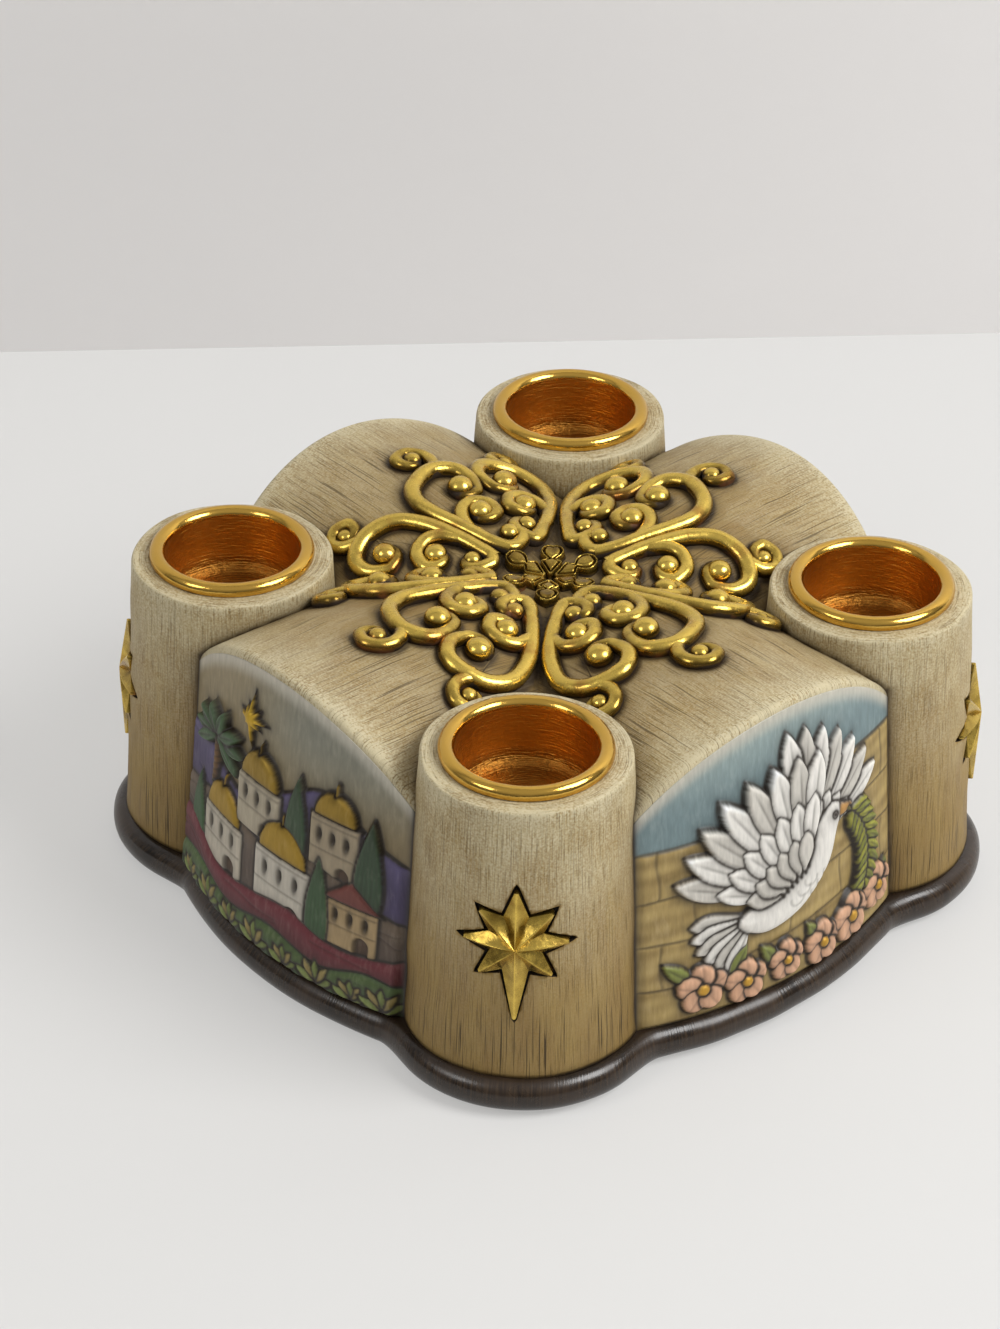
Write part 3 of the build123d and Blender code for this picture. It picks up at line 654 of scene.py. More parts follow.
def drawnSpray(name, kind, turn, hand):
    # the rods as drawn lines and the balls as loose points, with the sizes that the tree reads
    points, edges, rodRadius, ballRadius, member = [], [], [], [], []
    for number, (line, radius) in enumerate(scrollLines(kind)):
        x, y = line[:, 0], line[:, 1] * hand
        first = sum(len(p) for p in points)
        points.append(np.stack([x, y, topAt(x, y) + rods["sink"] * radius], 1))
        edges += [(first + i, first + i + 1) for i in range(len(line) - 1)]
        rodRadius += list(radius)
        ballRadius += [0.0] * len(line)
        member += [number] * len(line)
    spots, sizes = scrollBalls(kind)
    member += [len(points) + k for k in range(len(spots))]
    x, y = spots[:, 0], spots[:, 1] * hand
    points.append(np.stack([x, y, topAt(x, y) + rods["ballSink"] * sizes], 1))
    rodRadius += [0.0] * len(spots)
    ballRadius += list(sizes)
    mesh = bpy.data.meshes.new(name)
    mesh.from_pydata((turned(np.vstack(points), 90 * turn) * mm).tolist(), edges, [])
    for key, values, scale in (("rodRadius", rodRadius, mm), ("ballRadius", ballRadius, mm),
                               ("member", member, 1)):
        data = mesh.attributes.new(key, "FLOAT", "POINT").data
        data.foreach_set("value", np.array(values, np.float32) * scale)
    piece = bpy.data.objects.new(name, mesh)
    scene.collection.objects.link(piece)
    return piece


def antiqueSpray(piece, kind, turn, hand):
    # how high each point stands for the gilding, less where painted shade is laid into the crevices where
    # rods and balls meet
    spread = np.empty(len(piece.data.vertices) * 3, np.float32)
    piece.data.vertices.foreach_get("co", spread)
    spread = spread.reshape(-1, 3) / mm
    riseAndShade = (spread[:, 2] - topAt(spread[:, 0], spread[:, 1])) / rods["relief"]
    member = np.empty(len(spread), np.float32)
    piece.data.attributes["member"].data.foreach_get("value", member)
    local = turned(spread, -90 * turn) * np.array([1, hand, 1])
    gap = meetingGap(kind, local, np.round(member).astype(int))
    # painted shade where rods and balls meet
    joint = np.exp(-(np.maximum(gap, 0) / rods["creviceWidth"]) ** 2) * smooth(*rods["creviceLevel"], riseAndShade)
    riseAndShade = riseAndShade - rods["creviceShade"] * joint
    data = piece.data.attributes.new("riseAndShade", "FLOAT", "POINT").data
    data.foreach_set("value", np.clip(riseAndShade, 0, 1.2).astype(np.float32))


def makeScrolls():
    tree, sockets = scrollTree()
    given = {"Rod Sides": rods["sides"], "Ball Segments": rods["ballSegments"],
             "Ball Rings": rods["ballRings"], "Ball Height": rods["ballHeight"], "Gilding": gilding}
    for kind in scrolls:
        for sideName, turn in sideTurns.items():
            hand = -1 if turn % 2 else 1
            name = "scroll_" + kind + "_" + sideName
            piece = drawnSpray(name + "_gilt", kind, turn, hand)
            modifier = piece.modifiers.new("scrollwork", "NODES")
            modifier.node_group = tree
            for socket, value in given.items():
                modifier[sockets[socket]] = value
            flatten(piece)
            antiqueSpray(piece, kind, turn, hand)
            settle(piece, [name])
    print("scrollwork:", len(sideTurns) * len(scrolls), "sprays")


def scrollDistance(x, y):
    # plan distance from points in the +X lobe to the nearest rod or ball, less its radius
    nearest = np.full(len(x), farAway)
    for kind in scrolls:
        for line, radius in scrollLines(kind):
            for (px, py), r in zip(line[::2], radius[::2]):
                nearest = np.minimum(nearest, np.hypot(x - px, y - py) - r)
        spots, sizes = scrollBalls(kind)
        for (px, py), r in zip(spots, sizes):
            nearest = np.minimum(nearest, np.hypot(x - px, y - py) - r)
    return nearest


def makeBody():
    # rays out from the centre over the top, round the worn edge and down the side, or down inside a tower
    quarterRays = body["rays"] // 4
    angle = np.radians(-45 + 360 / body["rays"] * np.arange(quarterRays + 1))
    cos, sin = np.cos(angle), np.sin(angle)
    axisDistance = math.sqrt(2) * towerSpot
    off = axisDistance * np.sin(np.radians(45) - np.abs(angle))
    intoTower = np.abs(off) < body["hideRadius"]
    half = np.sqrt(np.maximum(0, body["hideRadius"] ** 2 - off ** 2))
    towerEnd = axisDistance * np.cos(np.radians(45) - np.abs(angle)) - half
    low, high = np.full_like(angle, body["nearestEdge"]), np.full_like(angle, body["farthestEdge"])
    for step in range(40):
        middle = (low + high) / 2
        x, y = middle * cos, middle * sin
        inside = x < sideAt(y, topAt(x, y))
        low, high = np.where(inside, middle, low), np.where(inside, high, middle)
    end = np.where(intoTower, towerEnd, low)
    roundOff = np.where(intoTower, body["hideRound"], body["edgeRound"])
    rings = []
    share = np.linspace(0, 1, body["topRings"])[1:]
    for t in share:
        s = t * (end - roundOff)
        rings.append(np.stack([s * cos, s * sin, topAt(s * cos, s * sin)], 1))

    def wallPoint(level):
        s = end.copy()
        for step in range(6):
            s = np.where(intoTower, end, sideAt(s * sin, level) / cos)
        return np.stack([s * cos, s * sin, level], 1)

    edge = np.stack([end * cos, end * sin, topAt(end * cos, end * sin)], 1)
    start, stop = rings[-1], wallPoint(edge[:, 2] - roundOff)
    for t in np.linspace(0, 1, body["roundRings"] + 1)[1:]:
        rings.append((1 - t) ** 2 * start + 2 * t * (1 - t) * edge + t ** 2 * stop)
    bottom = deck - body["foot"]
    for t in np.linspace(0, 1, body["wallRings"] + 1)[1:]:
        rings.append(wallPoint(stop[:, 2] * (1 - t) + bottom * t))
    quarter = np.array(rings)                                    # ring, ray, xyz
    count = len(rings)
    flat = quarter.reshape(-1, 3)
    x, y, z = flat.T
    bumps = body["unevenness"] * waver(x, y, body["waveLength"], 4)          # the last number is a seed
    lifted = np.repeat(np.arange(count) < len(share), quarterRays + 1)
    flat = flat + np.stack([0 * x, 0 * x, np.where(lifted, bumps, 0)], 1)

    # umber wash and painted shade lie beside the scrolls, in the valleys, round the rosette and against the
    # towers
    valley = (np.abs(x) - np.abs(y)) / math.sqrt(2)
    towerGap = np.hypot(np.abs(x) - towerSpot, np.abs(y) - towerSpot) - towerRadius(z)
    still = fadeOff(towerGap, *body["towerWashShade"]) + fadeOff(towerGap, *body["towerShadeHaze"])
    still = still + fadeOff(valley, *body["valleyWashShade"])
    still = still + body["rosetteWashShade"] * smooth(*body["rosetteReach"], np.hypot(x, y))
    washAndShadeSides = []
    share, reach = body["scrollWashShade"]
    for hand in (1, -1):
        gap = np.maximum(scrollDistance(x, hand * y), 0)
        beside = share * np.exp(-(gap / reach) ** 2) + fadeOff(gap, *body["scrollShadeHaze"])
        washAndShadeSides.append(np.clip(still + beside, 0, 1))
    edgeGap = np.repeat(end[None, :], count, 0).ravel() - np.hypot(x, y)
    onSide = np.repeat(~intoTower[None, :], count, 0).ravel()
    wear = np.where(onSide, fadeOff(edgeGap, *body["edgeWear"]) + fadeOff(edgeGap, *body["edgeHaze"]), 0)
    wear = wear + body["wear"] + body["outerWear"] * smooth(20, 55, np.abs(x))
    wear = wear - body["wearUnderWashShade"] * washAndShadeSides[0]
    score = body["score"] * np.where(lifted & onSide, smooth(0.8, 4.0, edgeGap), lifted)
    sway = body["grainSway"] * waver(x, y, body["grainWave"], 12)
    grain = np.stack([y + sway, np.where(lifted, x, z)], 1)

    # four quarters share their diagonal rays, each with its own grain
    points = [np.array([[0, 0, topAt(0, 0)], [0, 0, bottom]])]
    washAndShadeParts, wears, scores = [[1, 1]], [[0, 0]], [[0, 0]]
    faces, uv = [], []
    columns = body["rays"]
    keep = np.arange(count * (quarterRays + 1)).reshape(count, -1)[:, :-1].ravel()
    for turn in range(4):
        points.append(turned(flat[keep], 90 * turn))
        washAndShadeParts.append(washAndShadeSides[turn % 2][keep])
        wears.append(wear[keep])
        scores.append(score[keep])

    def index(ring, ray):
        turn, local = divmod(ray % columns, quarterRays)
        return 2 + turn * count * quarterRays + ring * quarterRays + local

    for turn in range(4):
        for local in range(quarterRays):
            ray = turn * quarterRays + local
            faces.append([0, index(0, ray), index(0, ray + 1)])
            uv += [(0, 0), grain[local], grain[local + 1]]
            for ring in range(count - 1):
                faces.append([index(ring, ray), index(ring + 1, ray),
                              index(ring + 1, ray + 1), index(ring, ray + 1)])
                here, above = ring * (quarterRays + 1) + local, (ring + 1) * (quarterRays + 1) + local
                uv += [grain[here], grain[above], grain[above + 1], grain[here + 1]]
            faces.append([1, index(count - 1, ray + 1), index(count - 1, ray)])
            last = (count - 1) * (quarterRays + 1) + local
            uv += [(0, 0), grain[last + 1], grain[last]]
    attributes = {"washAndShade": np.clip(np.concatenate(washAndShadeParts), 0, 1),
                  "wear": np.clip(np.concatenate(wears), 0, 1.5), "score": np.concatenate(scores)}
    piece = makePiece("body_casting_stone", np.vstack(points), faces, stone, attributes, np.array(uv))
    settle(piece, ["body_casting"])
    print("body:", len(faces), "faces")


def lathe(profile, sides):
    # closed shell from a profile that starts and ends on the axis
    profile = np.asarray(profile, float)
    angle = 2 * math.pi * np.arange(sides) / sides
    inner = profile[1:-1]
    ringPoints = [np.stack([r * np.cos(angle), r * np.sin(angle), np.full(sides, z)], 1) for r, z in inner]
    points = np.vstack([[[0, 0, profile[0][1]], [0, 0, profile[-1][1]]]] + ringPoints)
    faces = [list(f) for f in gridFaces(len(inner), sides, True) + 2]
    faces += endFans(sides, 0, 2, 1, 2 + (len(inner) - 1) * sides)
    length = np.r_[0, np.cumsum(np.linalg.norm(np.diff(profile, axis=0), axis=1))]
    along = np.concatenate([[length[0], length[-1]], np.repeat(length[1:-1], sides)])
    girth = max(r for r, z in profile)
    uv = []
    for face in faces:
        turns = [((k - 2) % sides) / sides if k > 1 else None for k in face]
        known = [t for t in turns if t is not None]
        wrapped = max(known) - min(known) > 0.5
        for k, t in zip(face, turns):
            share = known[0] if t is None else (t + 1 if wrapped and t < 0.5 else t)
            uv.append((share * 2 * math.pi * girth, along[k]))
    return points, faces, np.array(uv)


def arc(centre, radiusR, radiusZ, start, stop, count):
    turn = np.radians(np.linspace(start, stop, count))
    return [(centre[0] + radiusR * math.cos(t), centre[1] + radiusZ * math.sin(t)) for t in turn]


star = {"height": 27.0, "rays": (8.6, 8.4, 10.2, 8.4, 8.6, 8.4, 14.4, 8.4),
        "notches": (4.9, 5.5, 5.5, 4.9, 4.7, 5.7, 5.7, 4.7), "blunt": 0.35, "nose": 0.12, "relief": 2.1,
        "tip": 0.85, "dip": -0.15, "shoulder": 0.22, "fall": 1.7, "setting": 1.2, "seatGap": 0.15,
        "bedGap": 0.8, "cutOut": 4.0, "steps": 9, "crispAngle": 16.0}


def starOutline(grow):
    # blunt ray tips and the notches between them, across and up from the star's middle
    outline = []
    step = math.pi / len(star["rays"])
    for i, (ray, notch) in enumerate(zip(star["rays"], star["notches"])):
        tip, gap = 2 * i * step, (2 * i + 1) * step
        for side in (-1, 0, 1):
            reach = ray + grow + (star["nose"] + 0.6 * grow if side == 0 else 0)
            half = side * star["blunt"] * (1 + 0.3 * grow)
            outline.append((reach * math.cos(tip) - half * math.sin(tip),
                            reach * math.sin(tip) + half * math.cos(tip)))
        outline.append(((notch + grow) * math.cos(gap), (notch + grow) * math.sin(gap)))
    return outline


def onTowerFace(across, up, proud):
    # a point on the tower's outer face, +X outwards from the tower's axis
    level = deck + star["height"] + up
    return [math.sqrt(towerRadius(level) ** 2 - across ** 2) + proud, across, level]


def starPrism(grow, front, back):
    outline = starOutline(grow)
    count = len(outline)
    points = [onTowerFace(a, u, front) for a, u in outline] + [onTowerFace(a, u, back) for a, u in outline]
    points += [onTowerFace(0, 0, front), onTowerFace(0, 0, back)]
    faces = []
    for i in range(count):
        j = (i + 1) % count
        faces += [[i, j, 2 * count], [count + j, count + i, 2 * count + 1], [i, count + i, count + j, j]]
    return np.array(points), faces


def starBody():
    # ridges run straight out to the tips, and the valleys between them fall away close to the middle
    outline = starOutline(0.0)
    count = len(outline)
    # the gilding's tone at each point: ridges painted bright as highlight, valleys darker with umber and
    # painted shade
    points, riseAndShade = [onTowerFace(0, 0, star["relief"])], [0.95]
    shares = np.linspace(0, 1, star["steps"] + 1)[1:]
    for t in shares:
        for k, (a, u) in enumerate(outline):
            ridgeLevel = star["relief"] + (star["tip"] - star["relief"]) * t
            if k % 4 == 3:
                proud = star["dip"] + (star["relief"] - star["dip"]) * (1 - t) ** star["fall"]
                riseAndShade.append(0.68 + 0.2 * (1 - t))
            else:
                proud = ridgeLevel - (0.0 if k % 4 == 1 else star["shoulder"] * t)
                riseAndShade.append(1.0 if k % 4 == 1 else 0.85)
            points.append(onTowerFace(a * t, u * t, proud))
    back = star["seatGap"] - star["setting"]
    points += [onTowerFace(a, u, back) for a, u in outline] + [onTowerFace(0, 0, back)]
    riseAndShade += [0.1] * (count + 1)
    faces = []
    rows = len(shares) + 1
    for i in range(count):
        j = (i + 1) % count
        faces.append([0, 1 + i, 1 + j])
        for row in range(rows - 1):
            low, high = 1 + row * count, 1 + (row + 1) * count
            faces.append([low + i, high + i, high + j, low + j])
        faces.append([1 + (rows - 1) * count + j, 1 + (rows - 1) * count + i, len(points) - 1])
    return np.array(points), faces, np.array(riseAndShade)


def makeTowers():
    # tapered posts with a worn rim, a socket for the cup and a bed cut for the star, painted nearly black as
    # shade
    top, edge = towerTop, tower["edgeRound"]
    foot, face = deck - tower["foot"], tower["topRadius"] - edge
    socket, floor = tower["socketRadius"], top - tower["socketDepth"]
    levels = np.append(np.linspace(foot, top - edge - 0.5, tower["levels"]), top - edge - 0.1)
    profile = [(0, foot)] + [(towerRadius(z), z) for z in levels]
    profile += arc((face, top - edge), edge, edge, 6, 88, 6)
    profile += [(face - 0.1, top)] + [(r, top) for r in np.linspace(face - 0.5, socket + 0.3, 7)]
    profile += [(socket, top - 0.3), (socket, floor), (0, floor)]
    points, faces, uv = lathe(profile, tower["sides"])
    radius = np.hypot(points[:, 0], points[:, 1])
    x, y, z = points.T
    corner = 0
    for side in faces:                                           # the grain of the top runs round it
        if np.mean(z[side]) > top - 0.3 * edge:
            uv[corner:corner + len(side)] = uv[corner:corner + len(side), ::-1]
        corner += len(side)
    outer = radius > socket + 0.5
    wave = waver(np.arctan2(y, x) * towerFoot, z, tower["waveLength"], 8)
    swell = tower["unevenness"] * wave * np.where(outer, 1, 0)
    points = points * np.stack([1 + swell / np.maximum(radius, 1), 1 + swell / np.maximum(radius, 1),
                                np.ones_like(radius)], 1)
    placed = atTower(points, 0)
    px, py, pz = placed.T
    reach, across = np.maximum(px, py), np.minimum(px, py)
    overTop = pz - topAt(px, py)
    fromSide = reach - sideAt(across, pz)
    besides = np.maximum(overTop, fromSide)                      # clear of the body above it or beside it
    up = z - deck
    # umber wash and painted shade against the body, at the foot by the plinth and in the socket, and a little
    # darker towards the bottom
    share, reach = tower["footWashShade"]
    washAndShade = fadeOff(besides, *tower["sideWashShade"]) + fadeOff(besides, *tower["sideShadeHaze"])
    washAndShade = washAndShade + share * np.exp(-up / reach) + tower["footHaze"] * smooth(26, 4, up)
    washAndShade = np.where(radius < socket + 0.2, tower["socketWashShade"], washAndShade)
    rim = fadeOff(np.hypot(radius - tower["topRadius"], z - top), *tower["rimWear"])
    wear = tower["wear"] + tower["upperWear"] * smooth(10, 50, up) + rim
    wear = wear - tower["wearUnderWashShade"] * np.clip(washAndShade, 0, 1)
    score = tower["score"] + tower["footScore"] * smooth(22, 2, up)
    attributes = {"washAndShade": np.clip(washAndShade, 0, 1), "wear": np.clip(wear, 0, 1.2), "score": score}
    cutPoints, cutFaces = starPrism(star["bedGap"], star["cutOut"], -star["setting"])
    for name, turn in towerTurns.items():
        piece = makePiece("tower_" + name + "_stone", atTower(points, turn), faces, stone, attributes, uv)
        cutter = makePiece("starBed", atTower(cutPoints, turn), cutFaces, bedShade, soft=False)
        cut = piece.modifiers.new("starBed", "BOOLEAN")
        cut.operation = "DIFFERENCE"
        cut.solver = "EXACT"
        cut.material_mode = "TRANSFER"
        cut.object = cutter
        flatten(piece)
        bpy.data.objects.remove(cutter)
        settle(piece, ["tower_" + name])
    print("towers:", len(towerTurns), "of", len(faces), "faces")


def makeStars():
    # eight-point stars with crisp ridges and valleys
    points, faces, riseAndShade = starBody()
    for name, turn in towerTurns.items():
        piece = makePiece("star_" + name + "_gilt", atTower(points, turn), faces, gilding, {"riseAndShade": riseAndShade})
        piece.data.set_sharp_from_angle(angle=math.radians(star["crispAngle"]))
        settle(piece, ["star_" + name])
    print("stars:", len(towerTurns))


cup = {"bore": 11.88, "wall": 0.8, "rimWidth": 2.8, "rimHeight": 2.1, "depth": 12.5, "corner": 2.0,
       "sides": 160, "wallTone": 0.5, "floorShade": 0.4}


def makeCups():
    # drawn cups: floor, wall, rolled rim, and the outside down in the socket
    top = cupHigh[2]
    bore, outer, corner = cup["bore"], cup["bore"] + cup["wall"], cup["corner"]
    rimHalf, bend = cup["rimWidth"] / 2, corner + cup["wall"]
    floor, shoulder, seat = top - cup["depth"], top - rimHalf, top - cup["rimHeight"]
    rimMiddle, rimEdge = bore + rimHalf, bore + cup["rimWidth"]
    foot = floor - cup["wall"]
    profile = [(0, floor)] + [(r, floor) for r in np.linspace(1.5, bore - corner - 0.2, 8)]
    profile += arc((bore - corner, floor + corner), corner, corner, -84, -6, 7)
    profile += [(bore, z) for z in np.linspace(floor + corner + 0.2, shoulder - 0.3, 18)]
    profile += arc((rimMiddle, shoulder), rimHalf, rimHalf, 176, -4, 26)
    profile += [(rimEdge, seat + 0.35), (rimEdge - 0.15, seat + 0.05), (rimEdge - 0.5, seat)]
    profile += [(outer + 0.1, seat), (outer, seat - 0.1), (outer, foot + bend)]
    profile += arc((outer - bend, foot + bend), bend, bend, -6, -84, 6) + [(0, foot)]
    points, faces, uv = lathe(profile[::-1], cup["sides"])
    radius = np.hypot(points[:, 0], points[:, 1])
    z = points[:, 2]
    within = (radius < bore + 0.45) & (z > foot + cup["wall"] / 2)
    depth = cup["wallTone"] * smooth(shoulder + 0.75, shoulder - 0.2, z)
    # painted shade darkening the floor of the cup
    depth = depth + cup["floorShade"] * smooth(5, 0, z - floor)
    inside = np.where(within, depth, 0)
    for name, turn in towerTurns.items():
        piece = makePiece("candle_cup_" + name + "_brass", atTower(points, turn), faces, brass,
                          {"inside": inside}, uv)
        settle(piece, ["candle_cup_" + name], "cup_" + name)
    print("cups:", len(towerTurns))


plinth = {"overhang": 2.6, "round": 3.1, "notch": 7.0, "thickness": 6.4, "rays": 720, "unevenness": 0.14,
          "waveLength": 16.0, "flat": 14.0, "crownWear": 0.7, "crown": 0.8, "crownWidth": 1.8}


def plinthReach(angle):
    # outline of the foot plus its overhang: bowed sides run into the rounds below the towers
    local = np.mod(angle + math.pi / 4, math.pi / 2) - math.pi / 4
    cos, sin = np.cos(local), np.sin(local)
    bow, start = body["bowRadius"] + plinth["overhang"], sideReach - body["bowRadius"]
    square = start * cos + np.sqrt(bow ** 2 - (start * sin) ** 2)
    off = math.pi / 4 - np.abs(local)
    axis = math.sqrt(2) * towerSpot
    post = towerFoot + plinth["overhang"]
    beyond = np.sqrt(np.maximum(0, post ** 2 - (axis * np.sin(off)) ** 2))
    knob = np.where(axis * np.sin(off) < post, axis * np.cos(off) + beyond, 0)
    blend = plinth["notch"] * 0.55
    near = np.maximum(0, blend - np.abs(square - knob)) / blend
    return np.maximum(square, knob) + near ** 2 * blend / 4


def makePlinth():
    # the slab's section carried round its outline, with a half-round edge
    count, flat = plinth["rays"], plinth["flat"]
    angle = 2 * math.pi * np.arange(count) / count
    reach = plinthReach(angle)
    x, y = reach * np.cos(angle), reach * np.sin(angle)
    wobble = plinth["unevenness"] * waver(x, y, plinth["waveLength"], 21)
    low, high, r = plinthLow[2], plinthLow[2] + plinth["thickness"], plinth["round"]
    under, over = np.radians(np.linspace(84, 0, 9)), np.radians(np.linspace(0, 84, 9))
    section = [(flat, low), (r + 1.5, low)]
    section += [(r - r * math.cos(t), low + r - r * math.sin(t)) for t in under]
    section += [(r - r * math.cos(t), high - r + r * math.sin(t)) for t in over]
    section += [(r + 0.5, high), (r + 1.2, high), (flat, high)]
    rings, wear = [], [[0, 0]]
    for inset, z in section:
        s = reach - inset + wobble
        rings.append(np.stack([s * np.cos(angle), s * np.sin(angle), np.full_like(s, z)], 1))
        rubbed = max(0.0, 1 - abs(inset - plinth["crown"]) / plinth["crownWidth"])
        wear.append(np.full_like(s, plinth["crownWear"] * rubbed if z > low + 2.5 else 0.0))
    points = np.vstack([[[0, 0, low], [0, 0, high]]] + rings)
    faces = [list(f) for f in gridFaces(len(section), count, True) + 2]
    faces += endFans(count, 0, 2, 1, 2 + (len(section) - 1) * count)
    girth = np.r_[0, np.cumsum(np.hypot(np.diff(x), np.diff(y)))]
    depth = np.r_[0, np.cumsum([math.dist(a, b) for a, b in zip(section[:-1], section[1:])])]
    uv = []
    for face in faces:
        columnsOf = [(k - 2) % count for k in face if k > 1]
        wrapped = max(columnsOf) - min(columnsOf) > count / 2
        for k in face:
            column = columnsOf[0] if k < 2 else (k - 2) % count
            along = girth[column] + (girth[-1] if wrapped and column < count / 2 else 0)
            uv.append((along, -flat if k == 0 else depth[-1] + flat if k == 1 else depth[(k - 2) // count]))
    attributes = {"wear": np.concatenate(wear)}
    piece = makePiece("plinth_base_lacquer", points, faces, lacquer, attributes, np.array(uv))
    settle(piece, ["plinth_base"])
    print("plinth:", len(faces), "faces")


pad = {"edgeRound": 0.5, "sides": 96, "fuzz": 0.12, "fuzzSize": 2.2}


def makePads():
    # felt discs, slack at the edge
    thick, radius, edge = padHigh[2], (padHigh[0] - padLow[0]) / 2, pad["edgeRound"]
    profile = [(0, 0)] + [(r, 0) for r in np.linspace(1, radius - edge - 0.1, 14)]
    profile += arc((radius - edge, edge), edge, edge, -80, 0, 5)
    profile += [(radius, thick - 0.4), (radius - 0.4, thick), (0, thick)]
    points, faces, uv = lathe(profile, pad["sides"])
    x, y, z = points.T
    fuzz = pad["fuzz"] * waver(x, y, pad["fuzzSize"], 33) * (z < 0.2)
    points = points + np.stack([0 * x, 0 * x, np.maximum(fuzz, 0)], 1)
    for name, turn in towerTurns.items():
        piece = makePiece("felt_pad_" + name + "_pile", atTower(points, turn), faces, felt, uv=uv)
        settle(piece, ["felt_pad_" + name])
    print("felt pads:", len(towerTurns))


rosette = {"arms": 6, "turn": 15.0, "relief": 1.7, "rays": 720, "rings": 110, "sunk": 0.5, "skirt": 2.0,
           "armSpread": 29.3, "grooveIn": 0.6, "grooveWidth": 0.15, "grooveDepth": 0.8,
           "along": (0.5, 1.5, 2.6, 3.4, 3.9, 4.3, 4.7, 5.15, 5.6, 6.0, 6.5, 7.1, 7.7, 8.25, 8.75,
                     9.15, 9.35),
           "halfWidth": (0.3, 0.75, 1.35, 1.95, 2.15, 2.0, 1.4, 1.0, 1.5, 1.9, 2.2, 2.32, 2.2, 1.9, 1.4,
                         0.75, 0.0)}


def rosetteHeight(x, y):
    # floriated arms: a blade with shoulders, a waist and a lobed head, grooved inside a raised rim
    step = 2 * math.pi / rosette["arms"]
    angle = np.arctan2(y, x) - math.radians(rosette["turn"])
    reach = np.hypot(x, y)
    local = angle - np.round(angle / step) * step
    u, v = reach * np.cos(local), np.abs(reach * np.sin(local))
    half = np.interp(u, rosette["along"], rosette["halfWidth"])
    half = np.minimum(half, u * math.tan(math.radians(rosette["armSpread"])) - 0.08)
    gap = 0.8 * np.maximum(v - half, u - rosette["along"][-1])
    groove = np.exp(-((gap + rosette["grooveIn"]) / rosette["grooveWidth"]) ** 2) * smooth(1.2, 2.2, u)
    height = rosette["relief"] * smooth(0.1, -0.3, gap) - rosette["grooveDepth"] * groove
    height = height + 0.25 * smooth(-0.65, -1.3, gap)
    height = height * smooth(0.7, 1.2, reach) + 0.5 * smooth(1.1, 0.7, reach)
    riseAndShade = 0.25 + 0.52 * smooth(0.0, -0.15, gap) - 0.1 * smooth(-0.7, -1.2, gap)
    riseAndShade = (riseAndShade - 0.55 * groove) * smooth(0.25, -0.1, gap) * smooth(0.5, 1.3, reach)
    return height - rosette["sunk"] * smooth(-0.05, 0.25, gap) * smooth(0.7, 1.2, reach), riseAndShade


def makeRosette():
    count = rosette["rays"]
    angle = 2 * math.pi * np.arange(count) / count
    radii = np.linspace(0, rosette["along"][-1] + 0.3, rosette["rings"])[1:]
    s, a = np.meshgrid(radii, angle, indexing="ij")
    x, y = (s * np.cos(a)).ravel(), (s * np.sin(a)).ravel()
    height, riseAndShade = rosetteHeight(x, y)
    upper = np.stack([x, y, topAt(x, y) + height], 1)
    low = topAt(x[-count:], y[-count:]) - rosette["skirt"]
    skirt = np.stack([x[-count:], y[-count:], low], 1)
    hub = topAt(0.0, 0.0)
    middles = [[0, 0, hub + rosette["relief"]], [0, 0, hub - rosette["skirt"]]]
    points = np.vstack([upper, skirt, middles])
    rows = len(radii) + 1
    faces = [list(f[::-1]) for f in gridFaces(rows, count, True)]
    faces += endFans(count, rows * count + 1, (rows - 1) * count, rows * count, 0)
    riseAndShade = np.clip(np.concatenate([riseAndShade, np.zeros(count), [0.2, 0]]), 0, 1)
    piece = makePiece("centre_rosette_gilt", points, faces, gilding, {"riseAndShade": riseAndShade})
    settle(piece, ["centre_rosette"])
    print("rosette:", len(faces), "faces")


# Relief panels: a sheet over each side, raised and painted motif by motif

# pairs of a wash, painted shade or fade are its share at the edge and the distance over which it dies away
panel = {"halfWidth": 31.0, "columns": 300, "rows": 262, "foot": -0.05, "archMargin": 1.25, "skin": 0.12,
         "backing": 1.5, "inkWidth": 0.4, "haloShade": (0.5, 0.9), "glaze": 0.13, "glazeColour": "#4A3514",
         "brushed": "#BDB7A8", "brushedReach": 3.6, "brushedShare": 0.85, "towerShadeInk": (0.85, 0.45),
         "footShadeInk": (0.75, 0.5), "boost": 1.2, "hollowShadeInk": 1.2, "crestLight": 0.6, "brightest": 0.78,
         "inkStrength": 1.25, "edgePaint": 0.1}


def newCanvas():
    across = np.linspace(-panel["halfWidth"], panel["halfWidth"], panel["columns"])
    arch = body["archRadius"]
    head = ridge - arch + np.sqrt(arch ** 2 - across ** 2) - panel["archMargin"] - deck
    share = np.linspace(0, 1, panel["rows"])[:, None]
    up = panel["foot"] + share * (head[None, :] - panel["foot"])
    a = np.repeat(across[None, :], panel["rows"], 0)
    shape = a.shape
    return {"a": a, "z": up, "head": np.repeat(head[None, :], panel["rows"], 0), "height": np.zeros(shape),
            "paint": np.zeros(shape + (3,)), "ink": np.zeros(shape), "gilt": np.zeros(shape)}


def mixInto(canvas, colour, amount):
    tint = np.array(linear(colour)[:3])
    canvas["paint"] += (tint - canvas["paint"]) * amount[..., None]


